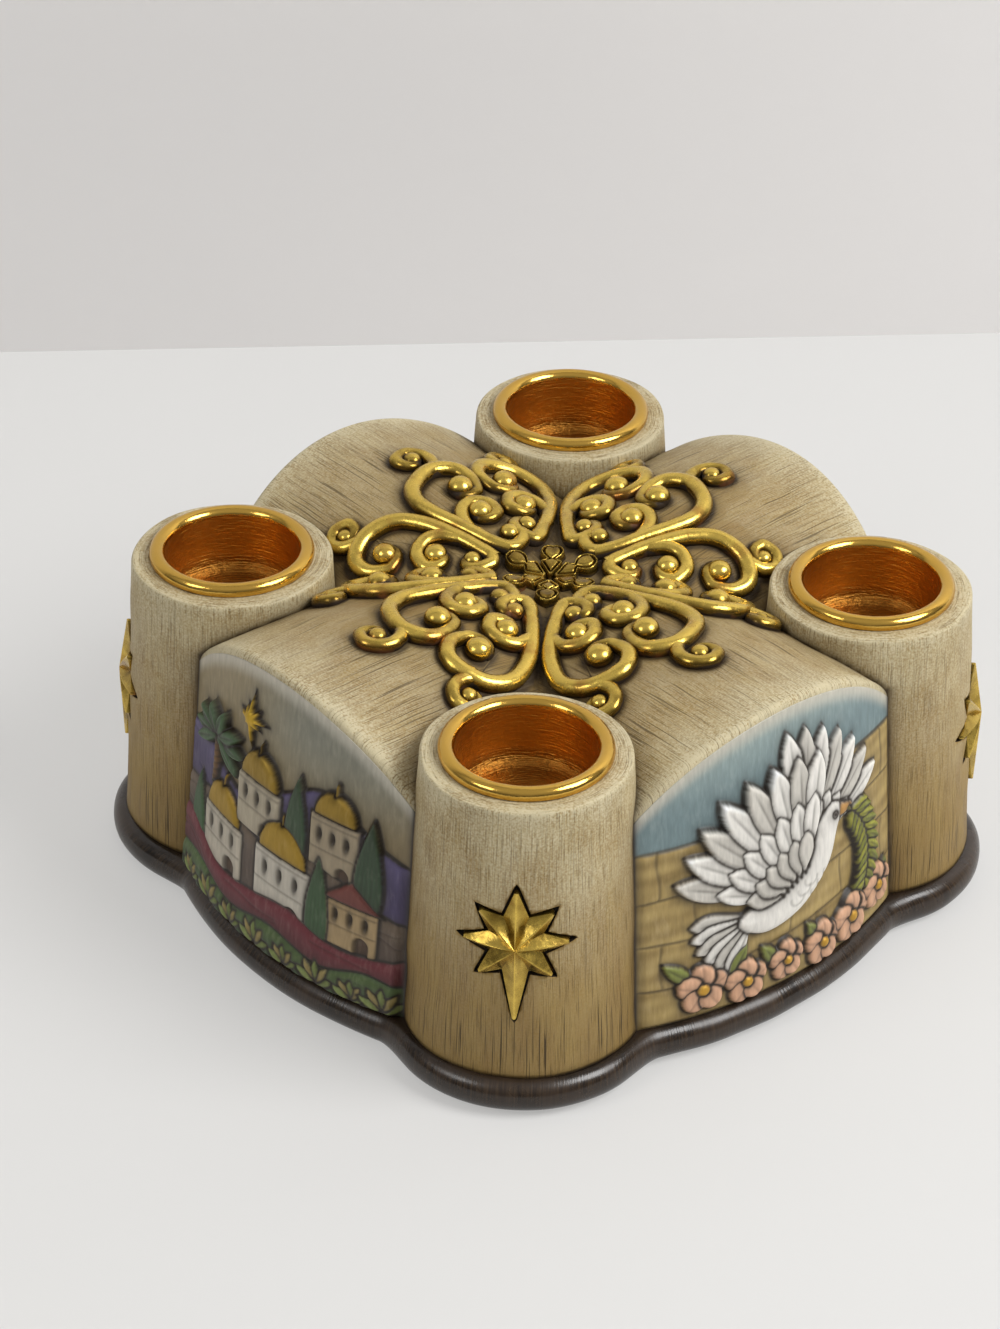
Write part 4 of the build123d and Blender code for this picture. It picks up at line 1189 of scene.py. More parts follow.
def lay(canvas, gap, colour, height, edge=0.9, ink=1.0, gilt=0.0):
    # one raised shape: gap is its signed distance in millimetres, below zero inside
    inside = smooth(0.12, -0.12, gap)
    dome = np.sqrt(np.maximum(0, 1 - (1 - np.clip(-gap / edge, 0, 1)) ** 2))
    canvas["height"] += (height * (0.45 + 0.55 * dome) - canvas["height"]) * inside
    mixInto(canvas, colour, inside)
    canvas["gilt"] += (gilt - canvas["gilt"]) * inside
    line = ink * np.exp(-(np.maximum(gap - 0.05, 0) / panel["inkWidth"]) ** 2) * (gap > -0.1)
    # a soft halo of painted shade round the raised shape
    halo = ink * fadeOff(gap, *panel["haloShade"]) * (gap > 0)
    canvas["ink"] = np.maximum(canvas["ink"] * (1 - inside), np.maximum(line, halo))


def cut(canvas, gap, width=0.2, depth=0.25, ink=0.8, within=1.0):
    # an engraved line along gap = 0 with dark wash in it
    line = np.exp(-(gap / width) ** 2) * within
    canvas["height"] -= depth * line
    canvas["ink"] = np.maximum(canvas["ink"], ink * line)


def soften(field, times):
    # rounds off the steps between neighbouring points of a sheet
    for axis in (0, 1) * times:
        ahead, behind = np.roll(field, -1, axis), np.roll(field, 1, axis)
        edge = [slice(None)] * field.ndim
        edge[axis] = [0, -1]
        blurred = (ahead + behind + 2 * field) / 4
        blurred[tuple(edge)] = field[tuple(edge)]
        field = blurred
    return field


def lineGap(canvas, points):
    # distance to a drawn line
    a, z = canvas["a"], canvas["z"]
    nearest = np.full(a.shape, farAway)
    for (x0, y0), (x1, y1) in zip(points[:-1], points[1:]):
        dx, dy = x1 - x0, y1 - y0
        t = np.clip(((a - x0) * dx + (z - y0) * dy) / (dx * dx + dy * dy + 1e-9), 0, 1)
        nearest = np.minimum(nearest, np.hypot(a - x0 - t * dx, z - y0 - t * dy))
    return nearest


def shapeGap(canvas, points):
    # signed distance to a closed outline
    points = [tuple(p) for p in points]
    loop = points + points[:1]
    a, z = canvas["a"], canvas["z"]
    inside = np.zeros(a.shape, bool)
    for (x0, y0), (x1, y1) in zip(loop[:-1], loop[1:]):
        if y0 != y1:
            crosses = ((y0 > z) != (y1 > z)) & (a < (x1 - x0) * (z - y0) / (y1 - y0) + x0)
            inside ^= crosses
    distance = lineGap(canvas, loop)
    return np.where(inside, -distance, distance)


def blobGap(canvas, points):
    return shapeGap(canvas, curveThrough(points, 6, closed=True))


def boxGap(canvas, left, right, low, high):
    return shapeGap(canvas, [(left, low), (right, low), (right, high), (left, high)])


def discGap(canvas, a, z, across, up):
    # ellipse, near enough to a distance for low relief
    return (np.hypot((canvas["a"] - a) / across, (canvas["z"] - z) / up) - 1) * min(across, up)


def leafGap(canvas, root, tip, width, fullest=0.5):
    # pointed leaf or feather from root to tip, with the distance along it
    root, tip = np.array(root, float), np.array(tip, float)
    way = tip - root
    length = np.hypot(*way)
    way = way / length
    da, dz = canvas["a"] - root[0], canvas["z"] - root[1]
    t = (da * way[0] + dz * way[1]) / length
    side = da * way[1] - dz * way[0]
    warped = np.clip(t, 0, 1) ** (math.log(0.5) / math.log(fullest))
    half = width / 2 * np.sin(math.pi * warped) ** 0.8
    past = np.maximum(np.maximum(-t, t - 1), 0) * length
    beyond = np.hypot(np.maximum(np.abs(side) - half, 0), past)
    within = np.minimum(half - np.abs(side), half) * ((np.abs(side) < half) & (past == 0))
    return beyond - within, t, side


def leaf(canvas, root, tip, width, colour, height, vein=True, fullest=0.5, ink=1.0):
    gap, t, side = leafGap(canvas, root, tip, width, fullest)
    lay(canvas, gap, colour, height, 0.7, ink)
    if vein:
        cut(canvas, side, 0.16, 0.22, 0.7, (gap < -0.05) * smooth(0.05, 0.2, t) * smooth(0.98, 0.75, t))


def stalk(canvas, points, width, colour, height):
    lay(canvas, lineGap(canvas, curveThrough(points, 8)) - width / 2, colour, height, 0.5)


def alongStem(line):
    # each point of a drawn stem, with the way that it runs there in degrees
    for spot, ahead in zip(line[:-1], line[1:]):
        yield spot, math.degrees(math.atan2(ahead[1] - spot[1], ahead[0] - spot[0]))


def blossom(canvas, a, z, radius, colour, heart):
    # five round petals about a small heart
    for turn in (18, 90, 162, 234, 306):
        petal = outFrom((a, z), turn, 0.55 * radius)
        gap = discGap(canvas, *petal, 0.52 * radius, 0.52 * radius)
        lay(canvas, gap, colour, 1.45, 1.2)
        spoke = lineGap(canvas, [(a, z), outFrom((a, z), turn, radius)])
        cut(canvas, spoke, 0.14, 0.18, 0.5, gap < -0.2)
    lay(canvas, discGap(canvas, a, z, 0.26 * radius, 0.26 * radius), heart, 1.7, 0.6, gilt=0.6)


def skyAndWall(canvas, skyline, courses, wall, wallLight, skyLow, skyHigh):
    # blue above a wall of large blocks with engraved joints
    a, z = canvas["a"], canvas["z"]
    mixInto(canvas, wall, np.ones(a.shape))
    mixInto(canvas, wallLight, 0.5 + 0.5 * waver(a, 3 * z, 9.0, 51).clip(-1, 1))
    line = skyline + 0.8 * np.sin(a / 9.0 + 0.6) + 0.05 * a
    sky = smooth(-0.15, 0.15, z - line)
    mixInto(canvas, skyLow, sky)
    mixInto(canvas, skyHigh, sky * smooth(4, 20, z - line))
    canvas["height"] += 0.35 * (1 - sky)
    cut(canvas, z - line, 0.22, 0.25, 0.95)
    edges = [line - course for course in courses]
    for number, course in enumerate(edges):
        wave = course + 0.35 * np.sin(a / 4.3 + 2 * number)
        cut(canvas, z - wave, 0.2, 0.25, 0.75, z < line)
    bounds = [line] + edges + [np.full(a.shape, -9.0)]
    for number in range(len(bounds) - 1):
        between = (z < bounds[number]) & (z > bounds[number + 1])
        for joint in range(-3, 4):
            spot = joint * 13.0 + (6.5 if number % 2 else 0) + 0.25 * np.sin(z / 1.7 + joint)
            cut(canvas, a - spot, 0.18, 0.22, 0.65, between)


def paintDove(canvas):
    # white dove with an olive branch, blossoms below, before a stone wall
    skyAndWall(canvas, 36.5, (9.5, 18.5, 27.0), "#8C7542", "#B0985E", "#6E8488", "#98A9A6")
    white, shade = "#E4E1DA", "#C9C5BC"
    for k in range(7):                                           # far wing, long feathers first
        root = (6.0 - 0.5 * k, 25.0 + 0.4 * k)
        tip = outFrom(root, 24 + 13 * k, 19 - 0.3 * k, 19 + 0.6 * k)
        leaf(canvas, root, tip, 4.6, shade if k % 2 else white, 0.95, fullest=0.68)
    for k in range(5):
        root = (5.5 - 0.5 * k, 25.0)
        leaf(canvas, root, outFrom(root, 30 + 16 * k, 10, 10.5), 4.0, white, 1.15, fullest=0.62)
    for k in range(6):                                           # tail fan
        root = (-8.5, 17.5)
        leaf(canvas, root, outFrom(root, 176 + 13 * k, 12.5), 3.6, white if k % 2 else shade,
             1.0 + 0.06 * k, fullest=0.7)
    breast = [(-12, 16.6), (-6, 20.4), (0.5, 23.6), (5.6, 28.8), (9.4, 31.6), (12.4, 29.8), (11.0, 26.4),
              (8.4, 19.8), (1.5, 14.2), (-7.0, 12.8)]
    lay(canvas, blobGap(canvas, breast), white, 1.9, 3.2)
    lay(canvas, blobGap(canvas, [(11.6, 30.4), (15.2, 28.9), (11.4, 28.0)]), "#B98A4A", 1.7, 0.8)
    lay(canvas, discGap(canvas, 9.6, 29.4, 0.55, 0.55), "#1E1712", 2.0, 0.4)
    for k in range(8):                                           # near wing: primaries, then coverts
        root = (-3.4 + 0.9 * k, 19.6 + 0.5 * k)
        tip = outFrom(root, 158 - 11 * k, 24.5 - 0.9 * abs(k - 3))
        leaf(canvas, root, tip, 4.9, white if k % 2 else shade, 1.5 + 0.03 * k, fullest=0.7)
    for k in range(7):
        root = (-3.2 + 1.0 * k, 19.4 + 0.5 * k)
        leaf(canvas, root, outFrom(root, 160 - 13 * k, 14), 4.2, white, 1.75, fullest=0.66)
    for k in range(6):
        root = (-3.0 + 1.0 * k, 19.0 + 0.5 * k)
        leaf(canvas, root, outFrom(root, 165 - 16 * k, 8), 3.8, shade, 1.95, False, 0.6)
    for k in range(6):                                           # breast feathers
        row = 1.3 * (k % 3)
        cut(canvas, discGap(canvas, 1.6 * k, 17.2 + row, 1.5, 1.3), 0.15, 0.18, 0.45,
            (canvas["z"] < 17.6 + row) * 1.0)
    stem = [(13.6, 28.6), (17.0, 25.2), (19.4, 20.4), (19.8, 14.6), (18.4, 9.6)]
    stalk(canvas, stem, 0.9, "#5F5A24", 1.4)
    for k, (spot, way) in enumerate(alongStem(curveThrough(stem, 3)[1:])):
        for hand in (-1, 1):
            tip = outFrom(spot, way + hand * 42, 5.4)
            leaf(canvas, spot, tip, 2.1, "#9A9A34" if (k + hand) % 2 else "#7F8430", 1.6)
    for root, tip in (((-20, 7), (-26, 12.5)), ((-14, 6), (-10, 12)), ((-3, 4.5), (-7, 10)),
                      ((7, 4.5), (3.5, 10)), ((12, 5), (15, 11)), ((22, 6), (27, 11))):
        leaf(canvas, root, tip, 3.0, "#77803A", 1.2)
    for a, z, radius in ((-19.0, 6.0, 4.6), (-10.4, 4.6, 4.2), (-1.6, 5.2, 3.8), (7.2, 4.6, 4.2),
                         (15.2, 5.6, 4.6), (23.4, 7.2, 4.2)):
        blossom(canvas, a, z, radius, "#D3A483", "#C79A3C")


def house(canvas, a, foot, width, height, wall, roof, domed=True):
    # square white house with a dome or a gable, slit windows and a door
    half, eaves = width / 2, foot + height
    box = boxGap(canvas, a - half, a + half, foot, eaves)
    if domed:
        cap = np.maximum(discGap(canvas, a, eaves, half * 0.86, half * 1.0), eaves - canvas["z"])
        lay(canvas, cap, roof, 1.55, 1.6, gilt=0.75)
        finial = lineGap(canvas, [(a, eaves + half), (a, eaves + half + 1.6)]) - 0.28
        lay(canvas, finial, roof, 1.4, 0.4, gilt=0.75)
    else:
        gable = [(a - half * 1.15, eaves), (a + half * 1.15, eaves), (a, eaves + half * 0.9)]
        lay(canvas, shapeGap(canvas, gable), roof, 1.5, 0.8)
    lay(canvas, box, wall, 1.35, 0.8)
    for course in (0.9, 0.52 * height):
        cut(canvas, canvas["z"] - (eaves - course), 0.16, 0.2, 0.6, box < -0.4)
    for window in (-0.55, 0.0, 0.55):
        slot = discGap(canvas, a + window * half, foot + height * 0.72, 0.4, 1.05)
        lay(canvas, slot, "#3A3028", 0.7, 0.5, 0.6)
    left, right = a + 0.22 * half, a + 0.66 * half
    door = [(left, foot), (left, foot + 2.6), (a + 0.44 * half, foot + 3.5), (right, foot + 2.6),
            (right, foot)]
    lay(canvas, shapeGap(canvas, curveThrough(door, 5)), "#4A3524", 0.7, 0.5, 0.6)


def cypress(canvas, a, foot, height, width, colour):
    leaf(canvas, (a, foot - 1.5), (a, foot + height), width, colour, 1.5, False, 0.38)
    gap, t, side = leafGap(canvas, (a, foot - 1.5), (a, foot + height), width, 0.38)
    swell = width * 0.17 * np.sin(math.pi * np.clip(t, 0, 1) ** 0.7)
    for k in range(-2, 3):
        cut(canvas, side - k * swell, 0.13, 0.15, 0.45, gap < -0.3)


def palm(canvas, foot, crown, colour, bark):
    middle = ((foot[0] + crown[0]) / 2 + 1.2, (foot[1] + crown[1]) / 2)
    trunk = curveThrough([foot, middle, crown], 8)
    gap = lineGap(canvas, trunk) - 0.85
    lay(canvas, gap, bark, 1.5, 0.7)
    for z in np.arange(foot[1] + 1, crown[1], 1.3):
        cut(canvas, canvas["z"] - z - 0.3 * np.sin(canvas["a"] * 2), 0.16, 0.2, 0.7, gap < 0)
    for degrees in (8, 38, 78, 112, 146, 176, 205, -28):
        tip = outFrom((crown[0], crown[1] - 1.4), degrees, 9.0, 7.2)
        leaf(canvas, crown, tip, 2.6, colour, 1.65)


def hill(canvas, crest, colour, light, height, seed):
    # a rounded hill, everything below its crest line, with soft folds
    a, z = canvas["a"], canvas["z"]
    points = curveThrough(crest, 10)
    level = np.interp(a, points[:, 0], points[:, 1])
    gap = (z - level) * 0.9
    lay(canvas, gap, colour, height, 2.2)
    inside = smooth(0.0, -0.6, gap)
    mixInto(canvas, light, 0.55 * inside * smooth(-5.0, -0.4, gap))
    for fold in (2.4, 5.2, 8.4):
        wave = level - fold - 1.1 * np.sin(a / 4.6 + seed + fold)
        cut(canvas, z - wave, 0.18, 0.16, 0.4, inside * (waver(a, z, 12.0, seed) > -0.2))


def paintTown(canvas):
    # white hill town with gilt domes under a star, between cypresses and palms
    a, z = canvas["a"], canvas["z"]
    mixInto(canvas, "#7B6A48", np.ones(a.shape))
    mixInto(canvas, "#928566", smooth(20, 46, z + 2 * np.sin(a / 7)))
    mixInto(canvas, "#758280", 0.55 * smooth(32, 48, z) * smooth(-14, 10, a))
    reaches = (5.4, 1.5, 2.9, 1.5, 4.2, 1.5, 2.9, 1.5, 7.4, 1.5, 2.9, 1.5, 4.2, 1.5, 2.9, 1.5)
    outline = [outFrom((-6.5, 43.5), 90 + 22.5 * k, reach) for k, reach in enumerate(reaches)]
    lay(canvas, shapeGap(canvas, outline), "#C9A63C", 1.5, 1.5, gilt=0.8)     # star low over the hills
    hill(canvas, [(-34, 29), (-22, 32), (-10, 27), (2, 33), (13, 38), (24, 32), (34, 28)],
         "#433B62", "#665E88", 0.7, 3)
    palm(canvas, (-20.5, 14), (-16.5, 34.5), "#3F5C3C", "#6B4E2E")
    house(canvas, -3.0, 22, 12.0, 10.5, "#B5AA93", "#A2853A")
    house(canvas, 15.5, 22, 10.5, 12.0, "#A6977C", "#A2853A")
    cypress(canvas, 7.0, 20, 19, 5.4, "#2A4A2E")
    cypress(canvas, 23.0, 17, 20, 5.6, "#26452C")
    hill(canvas, [(-34, 19), (-24, 21), (-13, 23), (0, 21), (12, 24), (24, 20), (34, 17)],
         "#584A40", "#7B6B58", 1.0, 7)
    house(canvas, -13.5, 9.5, 13.0, 10.5, "#C4BBA9", "#B0903C")
    house(canvas, 4.0, 9.0, 14.0, 12.0, "#CBC4B5", "#B0903C")
    house(canvas, 20.0, 10.0, 11.0, 9.0, "#AE956B", "#6E332C", False)
    cypress(canvas, -22.6, 6, 18, 5.6, "#355B34")
    cypress(canvas, 13.0, 7, 19, 5.2, "#315532")
    hill(canvas, [(-34, 12), (-25, 14), (-14, 9.5), (-4, 10.5), (6, 12.0), (18, 9.5), (34, 12)],
         "#551522", "#7A2B38", 1.4, 11)
    hill(canvas, [(-34, 4.5), (-22, 7.0), (-10, 4.5), (2, 6.5), (14, 4.5), (24, 7.0), (34, 5)],
         "#304F2E", "#62783E", 1.65, 5)
    for k, spot in enumerate((-24.5, -17, -9.4, -1.8, 6.0, 13.6, 21.0, 27.0)):
        for degrees in (22, 56, 90, 124, 158):                   # tufts along the front
            tip = outFrom((spot, 0.8), degrees, 4.6 if k % 2 else 3.8)
            leaf(canvas, (spot, 0.8), tip, 1.7, "#7C8A4A" if degrees % 4 else "#A3925A", 1.75, False, 0.5)


def holly(canvas, root, tip, colour):
    # leaf with drawn-in points along its edge
    root, tip = np.array(root, float), np.array(tip, float)
    way = tip - root
    side = np.array([-way[1], way[0]]) / np.hypot(*way)
    outline = [root]
    for t, out in ((0.14, 1.6), (0.25, 0.9), (0.42, 2.2), (0.55, 1.1), (0.72, 1.8), (0.84, 0.8)):
        outline.append(root + t * way + out * side)
    outline.append(tip)
    for t, out in ((0.84, 0.8), (0.72, 1.8), (0.55, 1.1), (0.42, 2.2), (0.25, 0.9), (0.14, 1.6)):
        outline.append(root + t * way - out * side)
    gap = shapeGap(canvas, outline)
    lay(canvas, gap, colour, 1.55, 1.2)
    cut(canvas, lineGap(canvas, [root, tip]), 0.18, 0.25, 0.7, gap < -0.1)


def paintLantern(canvas):
    # gilt lantern with a warm pane, holly and berries, before the same kind of wall
    skyAndWall(canvas, 33.0, (10.0, 20.0), "#8A7442", "#AC955E", "#6E8488", "#98A9A6")
    gold, dark = "#C3A043", "#8A6C28"
    ring = np.abs(discGap(canvas, 0, 46.6, 2.6, 2.6)) - 0.5
    lay(canvas, ring, gold, 1.4, 0.5, gilt=0.8)
    roof = [(-8.0, 33.5), (8.0, 33.5), (2.4, 43.6), (-2.4, 43.6)]
    lay(canvas, shapeGap(canvas, roof), gold, 1.7, 1.4, gilt=0.8)
    lay(canvas, boxGap(canvas, -8.8, 8.8, 31.2, 33.9), dark, 1.9, 0.8, gilt=0.8)
    lay(canvas, boxGap(canvas, -6.8, 6.8, 10.0, 31.4), "#E2B45C", 1.1, 0.8)
    glow = np.exp(-(np.hypot(canvas["a"], (canvas["z"] - 18) * 0.8) / 5.0) ** 2)
    pane = (np.abs(canvas["a"]) < 6.4) & (canvas["z"] > 10.4) & (canvas["z"] < 31)
    mixInto(canvas, "#F3DC9C", glow * pane)
    leaf(canvas, (0, 15.5), (0, 24.5), 3.4, "#F7EBC2", 1.3, False, 0.36, 0.4)
    lay(canvas, boxGap(canvas, -1.7, 1.7, 10.0, 16.2), "#E9E1CC", 1.3, 1.2, 0.5)
    for bar in (-6.8, -2.3, 2.3, 6.8):
        lay(canvas, lineGap(canvas, [(bar, 10), (bar, 31.4)]) - 0.55, gold, 1.8, 0.5, gilt=0.8)
    lay(canvas, lineGap(canvas, [(-6.8, 20.8), (6.8, 20.8)]) - 0.45, gold, 1.8, 0.5, gilt=0.8)
    foot = [(-8.8, 7.0), (8.8, 7.0), (8.0, 10.4), (-8.0, 10.4)]
    lay(canvas, shapeGap(canvas, foot), dark, 1.9, 0.9, gilt=0.8)
    for hand in (-1, 1):
        for root, tip in (((6, 5), (16, 12.5)), ((8, 4), (20, 5.5)), ((12, 7), (24.5, 12)),
                          ((5, 4), (12, 1.6)), ((15, 11), (19.5, 21)), ((20, 6), (27.5, 4))):
            colour = "#3F5F3A" if root[0] % 2 else "#54723F"
            holly(canvas, (hand * root[0], root[1]), (hand * tip[0], tip[1]), colour)
        for spot in ((8.2, 6.8), (10.4, 8.2), (10.6, 5.6), (17.4, 12.6), (19.2, 10.4)):
            lay(canvas, discGap(canvas, hand * spot[0], spot[1], 1.25, 1.25), "#7E2230", 1.9, 1.2)


def bell(canvas, a, z, lean):
    right = [(1.6, 16.2), (3.4, 13.4), (4.9, 7.6), (7.2, 2.4), (8.2, 0)]
    outline = np.array([(-across, up) for across, up in right[::-1]] + right, float)
    c, s = math.cos(math.radians(lean)), math.sin(math.radians(lean))
    turn = np.array([[c, -s], [s, c]])
    place = outline @ turn.T + np.array([a, z])
    clapper = np.array([0, -1.2]) @ turn.T + np.array([a, z])
    lay(canvas, discGap(canvas, *clapper, 1.9, 1.9), "#7A5A22", 1.3, 1.5, gilt=0.7)
    gap = shapeGap(canvas, place)
    lay(canvas, gap, "#C6A344", 1.9, 3.2, gilt=0.8)
    for up in (2.0, 3.2, 12.2):
        rim = np.array([(-9, up), (9, up)]) @ turn.T + np.array([a, z])
        cut(canvas, lineGap(canvas, [tuple(p) for p in rim]), 0.2, 0.3, 0.8, gap < -0.2)


def paintBells(canvas):
    # pair of gilt bells below a burgundy bow, with fir sprigs
    skyAndWall(canvas, 29.0, (9.0, 17.5), "#877242", "#A8935E", "#708488", "#98A7A5")
    for root, tips in (((0, 36), ((-22, 41), (-25, 31), (-21, 22), (22, 41), (25, 31), (21, 22))),
                       ((0, 8), ((-24, 9), (-22, 2.5), (24, 9), (22, 2.5)))):
        for tip in tips:
            middle = ((root[0] + tip[0]) / 2, (root[1] + tip[1]) / 2 + 1.5)
            branch = curveThrough([root, middle, tip], 7)
            for k, (spot, way) in enumerate(alongStem(branch[2:])):
                colour = "#3F5B3C" if k % 2 else "#587048"
                for hand in (-1, 1):
                    needle = outFrom(spot, way + hand * 38, 4.2)
                    leaf(canvas, spot, needle, 1.15, colour, 1.0 + 0.02 * k, False, 0.4, 0.7)
            stalk(canvas, branch[::3], 0.7, "#5A4228", 1.2)
    bell(canvas, -9.0, 14.0, -14)
    bell(canvas, 9.4, 13.0, 14)
    burgundy, light = "#6A1F2C", "#8B3A44"
    for hand in (-1, 1):
        leaf(canvas, (hand * 2, 34), (hand * 9.5, 18.0), 4.6, light, 1.7, True, 0.7)
        loop = [(1, 36.5), (8, 43.5), (15.5, 42.0), (15.5, 33.5), (8, 31.5)]
        lay(canvas, blobGap(canvas, [(hand * across, up) for across, up in loop]), burgundy, 1.9, 2.6)
        for tip in ((13.0, 40.6), (13.6, 37.4), (12.4, 34.6)):   # folds of the loop
            cut(canvas, lineGap(canvas, [(hand * 3.4, 37.0), (hand * tip[0], tip[1])]), 0.26, 0.4, 0.8)
    lay(canvas, discGap(canvas, 0, 36.6, 3.2, 3.6), light, 2.0, 1.6)
    for spot in ((-4, 9), (0, 7.4), (4.2, 9)):
        lay(canvas, discGap(canvas, spot[0], spot[1], 1.6, 1.6), "#7E2230", 1.9, 1.4)


def finishPicture(canvas):
    # pale dry-brushing at the arch, wash and painted shade against towers and plinth and in the hollows,
    # painted highlights on the crests
    a, z = canvas["a"], canvas["z"]
    under, level = canvas["head"] - z, deck + z
    mixInto(canvas, panel["glazeColour"], np.full(a.shape, panel["glaze"]))
    fade = smooth(panel["brushedReach"], 0.2, under)
    mixInto(canvas, panel["brushed"], panel["brushedShare"] * fade)
    canvas["ink"] *= 1 - panel["brushedShare"] * fade
    towerGap = np.hypot(sideAt(a, level) - towerSpot, np.abs(a) - towerSpot) - towerRadius(level)
    # painted shade and wash against the towers and along the plinth
    canvas["ink"] = np.maximum(canvas["ink"], fadeOff(towerGap, *panel["towerShadeInk"]))
    canvas["ink"] = np.maximum(canvas["ink"], fadeOff(z, *panel["footShadeInk"]))
    calm = smooth(0.0, 1.6, towerGap) * smooth(0.0, 1.4, under) * smooth(0.0, 0.8, z)
    # painted shade in the hollows and painted highlights on the crests, by how far the relief lies below or
    # above its surroundings
    drop = soften(canvas["height"], 14) - canvas["height"]
    canvas["ink"] = np.maximum(canvas["ink"], np.clip(panel["hollowShadeInk"] * drop, 0, 0.7) * (1 - fade))
    lit = (1 + panel["crestLight"] * np.clip(-drop, 0, 0.6))[..., None]
    canvas["paint"] = soften(np.minimum(canvas["paint"] * lit, panel["brightest"]), 1)
    canvas["ink"] = panel["inkStrength"] * soften(canvas["ink"], 1)
    canvas["height"] = panel["skin"] + panel["boost"] * soften(canvas["height"], 2) * calm


def panelShell(canvas):
    # the raised sheet over the bowed side, closed by a rim and a back inside the body
    a, level = canvas["a"], deck + canvas["z"]
    bowed = np.sqrt(body["bowRadius"] ** 2 - a ** 2)
    normal = np.stack([np.ones_like(a), a / bowed, np.full_like(a, leanSlope)], -1)
    normal /= np.linalg.norm(normal, axis=-1, keepdims=True)
    base = np.stack([sideAt(a, level), a, level], -1)
    front = base + normal * canvas["height"][..., None]
    back = base - normal * panel["backing"]
    rows, columns = a.shape
    rim = [(0, c) for c in range(columns)] + [(r, columns - 1) for r in range(1, rows)]
    rim += [(rows - 1, c) for c in range(columns - 2, -1, -1)] + [(r, 0) for r in range(rows - 2, 0, -1)]
    points = np.vstack([front.reshape(-1, 3)] + [[back[r, c]] for r, c in rim])
    faces = [list(f) for f in gridFaces(rows, columns, False)]
    first, extra = rows * columns, len(rim)
    for i, (r, c) in enumerate(rim):
        j = (i + 1) % extra
        nextR, nextC = rim[j]
        faces.append([nextR * columns + nextC, r * columns + c, first + i, first + j])
    faces.append([first + i for i in range(extra - 1, -1, -1)])
    paint = np.concatenate([canvas["paint"].reshape(-1, 3), np.full((extra, 3), panel["edgePaint"])])
    attributes = {"paint": np.concatenate([paint, np.ones((len(paint), 1))], 1),
                  "ink": np.concatenate([np.clip(canvas["ink"], 0, 1).ravel(), np.ones(extra)]),
                  "gilt": np.concatenate([canvas["gilt"].ravel(), np.zeros(extra)])}
    return points, faces, attributes


def makePanels():
    painters = {"front_right": paintDove, "back_right": paintLantern, "back_left": paintBells,
                "front_left": paintTown}
    for sideName, painter in painters.items():
        canvas = newCanvas()
        painter(canvas)
        finishPicture(canvas)
        points, faces, attributes = panelShell(canvas)
        name = "relief_panel_" + sideName
        placed = turned(points, 90 * sideTurns[sideName])
        piece = makePiece(name + "_painted", placed, faces, painted, attributes)
        settle(piece, [name])
    print("panels:", len(painters))


makeBody()
makeTowers()
makeStars()
makeCups()
makePlinth()
makePads()
makeScrolls()
makeRosette()
makePanels()


# Stage: pale table, pale wall behind, soft light from the upper right of the camera

stage = {"table": "#DBDAD8", "wall": "#DCDAD9", "even": "#E2E1DF", "evenShare": 0.52, "cloudScale": 12.0,
         "seamLeft": (-220.8, 29.0), "seamRight": (-83.4, 211.1), "reach": 1500.0}


def paleSurface(name, colour, evenShare):
    # Matt pale paint. Camera and reflections see a share of it as an even tone, so that shade stays pale.
    # Its back is clear, so that it hides nothing in views from behind.
    material, add, shader = newMaterial(name)
    place = add("ShaderNodeTexCoord").outputs["Object"]
    cloud = add("ShaderNodeTexNoise", {"Vector": place, "Scale": stage["cloudScale"],
                                       "Detail": 3.0}).outputs["Fac"]
    tone = add("ShaderNodeMapRange", {"Value": cloud, "To Min": 0.985, "To Max": 1.015}).outputs[0]
    final = add("ShaderNodeMix", {"Factor": 1.0, 6: linear(colour), 7: tone}, data_type="RGBA",
                blend_type="MULTIPLY").outputs[2]
    setInputs(shader, {"Base Color": final, "Roughness": 0.8})
    ray = add("ShaderNodeLightPath").outputs
    seen = add("ShaderNodeMath", {0: ray["Is Camera Ray"], 1: ray["Is Glossy Ray"]},
               operation="MAXIMUM").outputs[0]
    share = add("ShaderNodeMath", {0: seen, 1: evenShare}, operation="MULTIPLY").outputs[0]
    glow = add("ShaderNodeEmission", {"Color": linear(stage["even"]), "Strength": 1.0}).outputs[0]
    both = add("ShaderNodeMixShader", {0: share, 1: shader.outputs[0], 2: glow}).outputs[0]
    behind = add("ShaderNodeNewGeometry").outputs["Backfacing"]
    clear = add("ShaderNodeBsdfTransparent").outputs[0]
    sided = add("ShaderNodeMixShader", {0: behind, 1: both, 2: clear}).outputs[0]
    setInputs(material.node_tree.nodes["Material Output"], {"Surface": sided})
    return material


def makeStage():
    left, right = np.array(stage["seamLeft"]), np.array(stage["seamRight"])
    along = (right - left) / np.linalg.norm(right - left)
    away = np.array([-along[1], along[0]])
    middle = (left + right) / 2
    far = stage["reach"]
    ends = [middle - far * along, middle + far * along]
    near = [p - 2 * far * away for p in ends]
    beyond = [p + 2 * far * away for p in ends]
    table = np.array([[*near[0], 0], [*near[1], 0], [*beyond[1], 0], [*beyond[0], 0]])
    wall = np.array([[*ends[0], 0], [*ends[1], 0], [*ends[1], far], [*ends[0], far]])
    for name, points, colour, share in (("table", table, stage["table"], stage["evenShare"]),
                                        ("backWall", wall, stage["wall"], 0.0)):
        paint = paleSurface(name + "Paint", colour, share)
        surface = makePiece(name, points, [[0, 1, 2, 3]], paint, soft=False)


camera = {"azimuth": 49.146, "elevation": 33.211, "roll": 0.73, "place": (427.39, -381.01, 413.91),
          "lens": 103.25, "sensorHeight": 36.0}


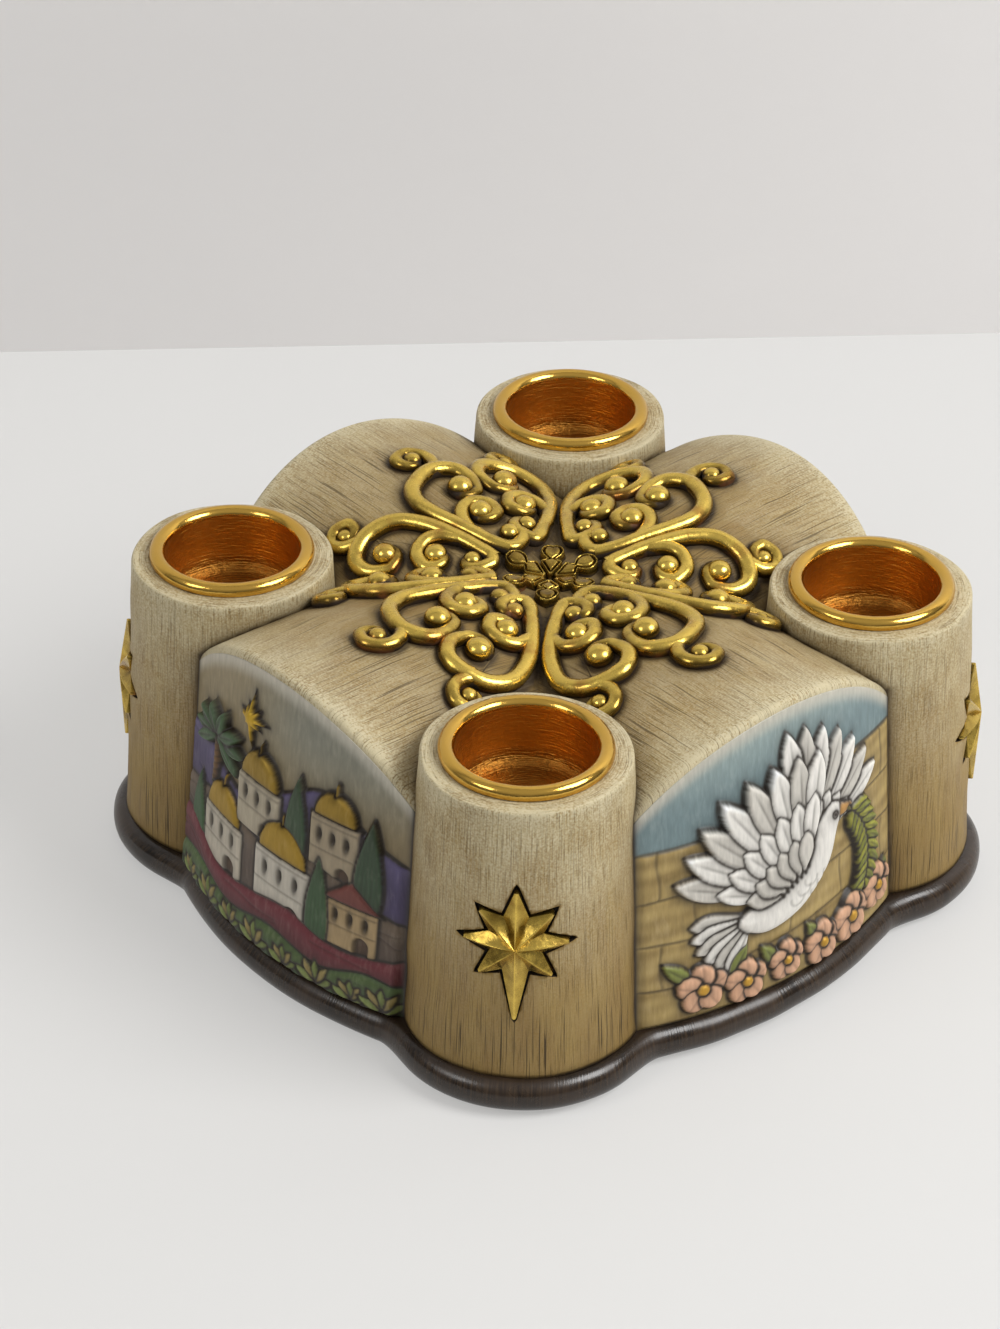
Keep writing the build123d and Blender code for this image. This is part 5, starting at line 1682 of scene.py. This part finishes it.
def makeCamera():
    turn, lift, roll = (math.radians(camera[k]) for k in ("azimuth", "elevation", "roll"))
    back = Vector((math.sin(turn) * math.cos(lift), -math.cos(turn) * math.cos(lift), math.sin(lift)))
    right = Vector((math.cos(turn), math.sin(turn), 0))
    up = back.cross(right)
    rolledRight = right * math.cos(roll) + up * math.sin(roll)
    rolledUp = up * math.cos(roll) - right * math.sin(roll)
    view = bpy.data.objects.new("camera", bpy.data.cameras.new("camera"))
    scene.collection.objects.link(view)
    placed = Matrix((rolledRight, rolledUp, back)).transposed().to_4x4()
    placed.translation = Vector(camera["place"]) * mm
    view.matrix_world = placed
    view.data.sensor_fit = "VERTICAL"
    view.data.sensor_height = camera["sensorHeight"]
    view.data.lens = camera["lens"]
    scene.camera = view


lights = {"sky": 0.5, "horizon": "#6E6C6A", "zenith": "#FBFAF8", "zenithFrom": 0.7, "aimHeight": 40.0,
          "key": ((560, 260, 640), 480, 6.4), "fill": ((-60, -640, 520), 300, 1.2)}


def makeLights():
    # an even sky that darkens to the horizon, and two round lamps: place, size and watts
    world = bpy.data.worlds.new("studio")
    world.use_nodes = True
    add = partial(addNode, world.node_tree)
    way = add("ShaderNodeTexCoord").outputs["Generated"]
    height = add("ShaderNodeSeparateXYZ", {"Vector": way}).outputs["Z"]
    shade = add("ShaderNodeValToRGB", {"Fac": height},
                stops=((0.0, lights["horizon"]), (lights["zenithFrom"], lights["zenith"]))).outputs["Color"]
    setInputs(world.node_tree.nodes["Background"], {"Color": shade, "Strength": lights["sky"]})
    scene.world = world
    for name in ("key", "fill"):
        place, size, power = lights[name]
        lamp = bpy.data.lights.new(name, "AREA")
        lamp.shape = "DISK"
        lamp.size = size * mm
        lamp.energy = power
        lit = bpy.data.objects.new(name, lamp)
        lit.location = Vector(place) * mm
        aim = Vector((0, 0, lights["aimHeight"] * mm)) - lit.location
        lit.rotation_euler = aim.to_track_quat("-Z", "Y").to_euler()
        scene.collection.objects.link(lit)


makeStage()
makeCamera()
makeLights()
scene.view_settings.view_transform = "Standard"
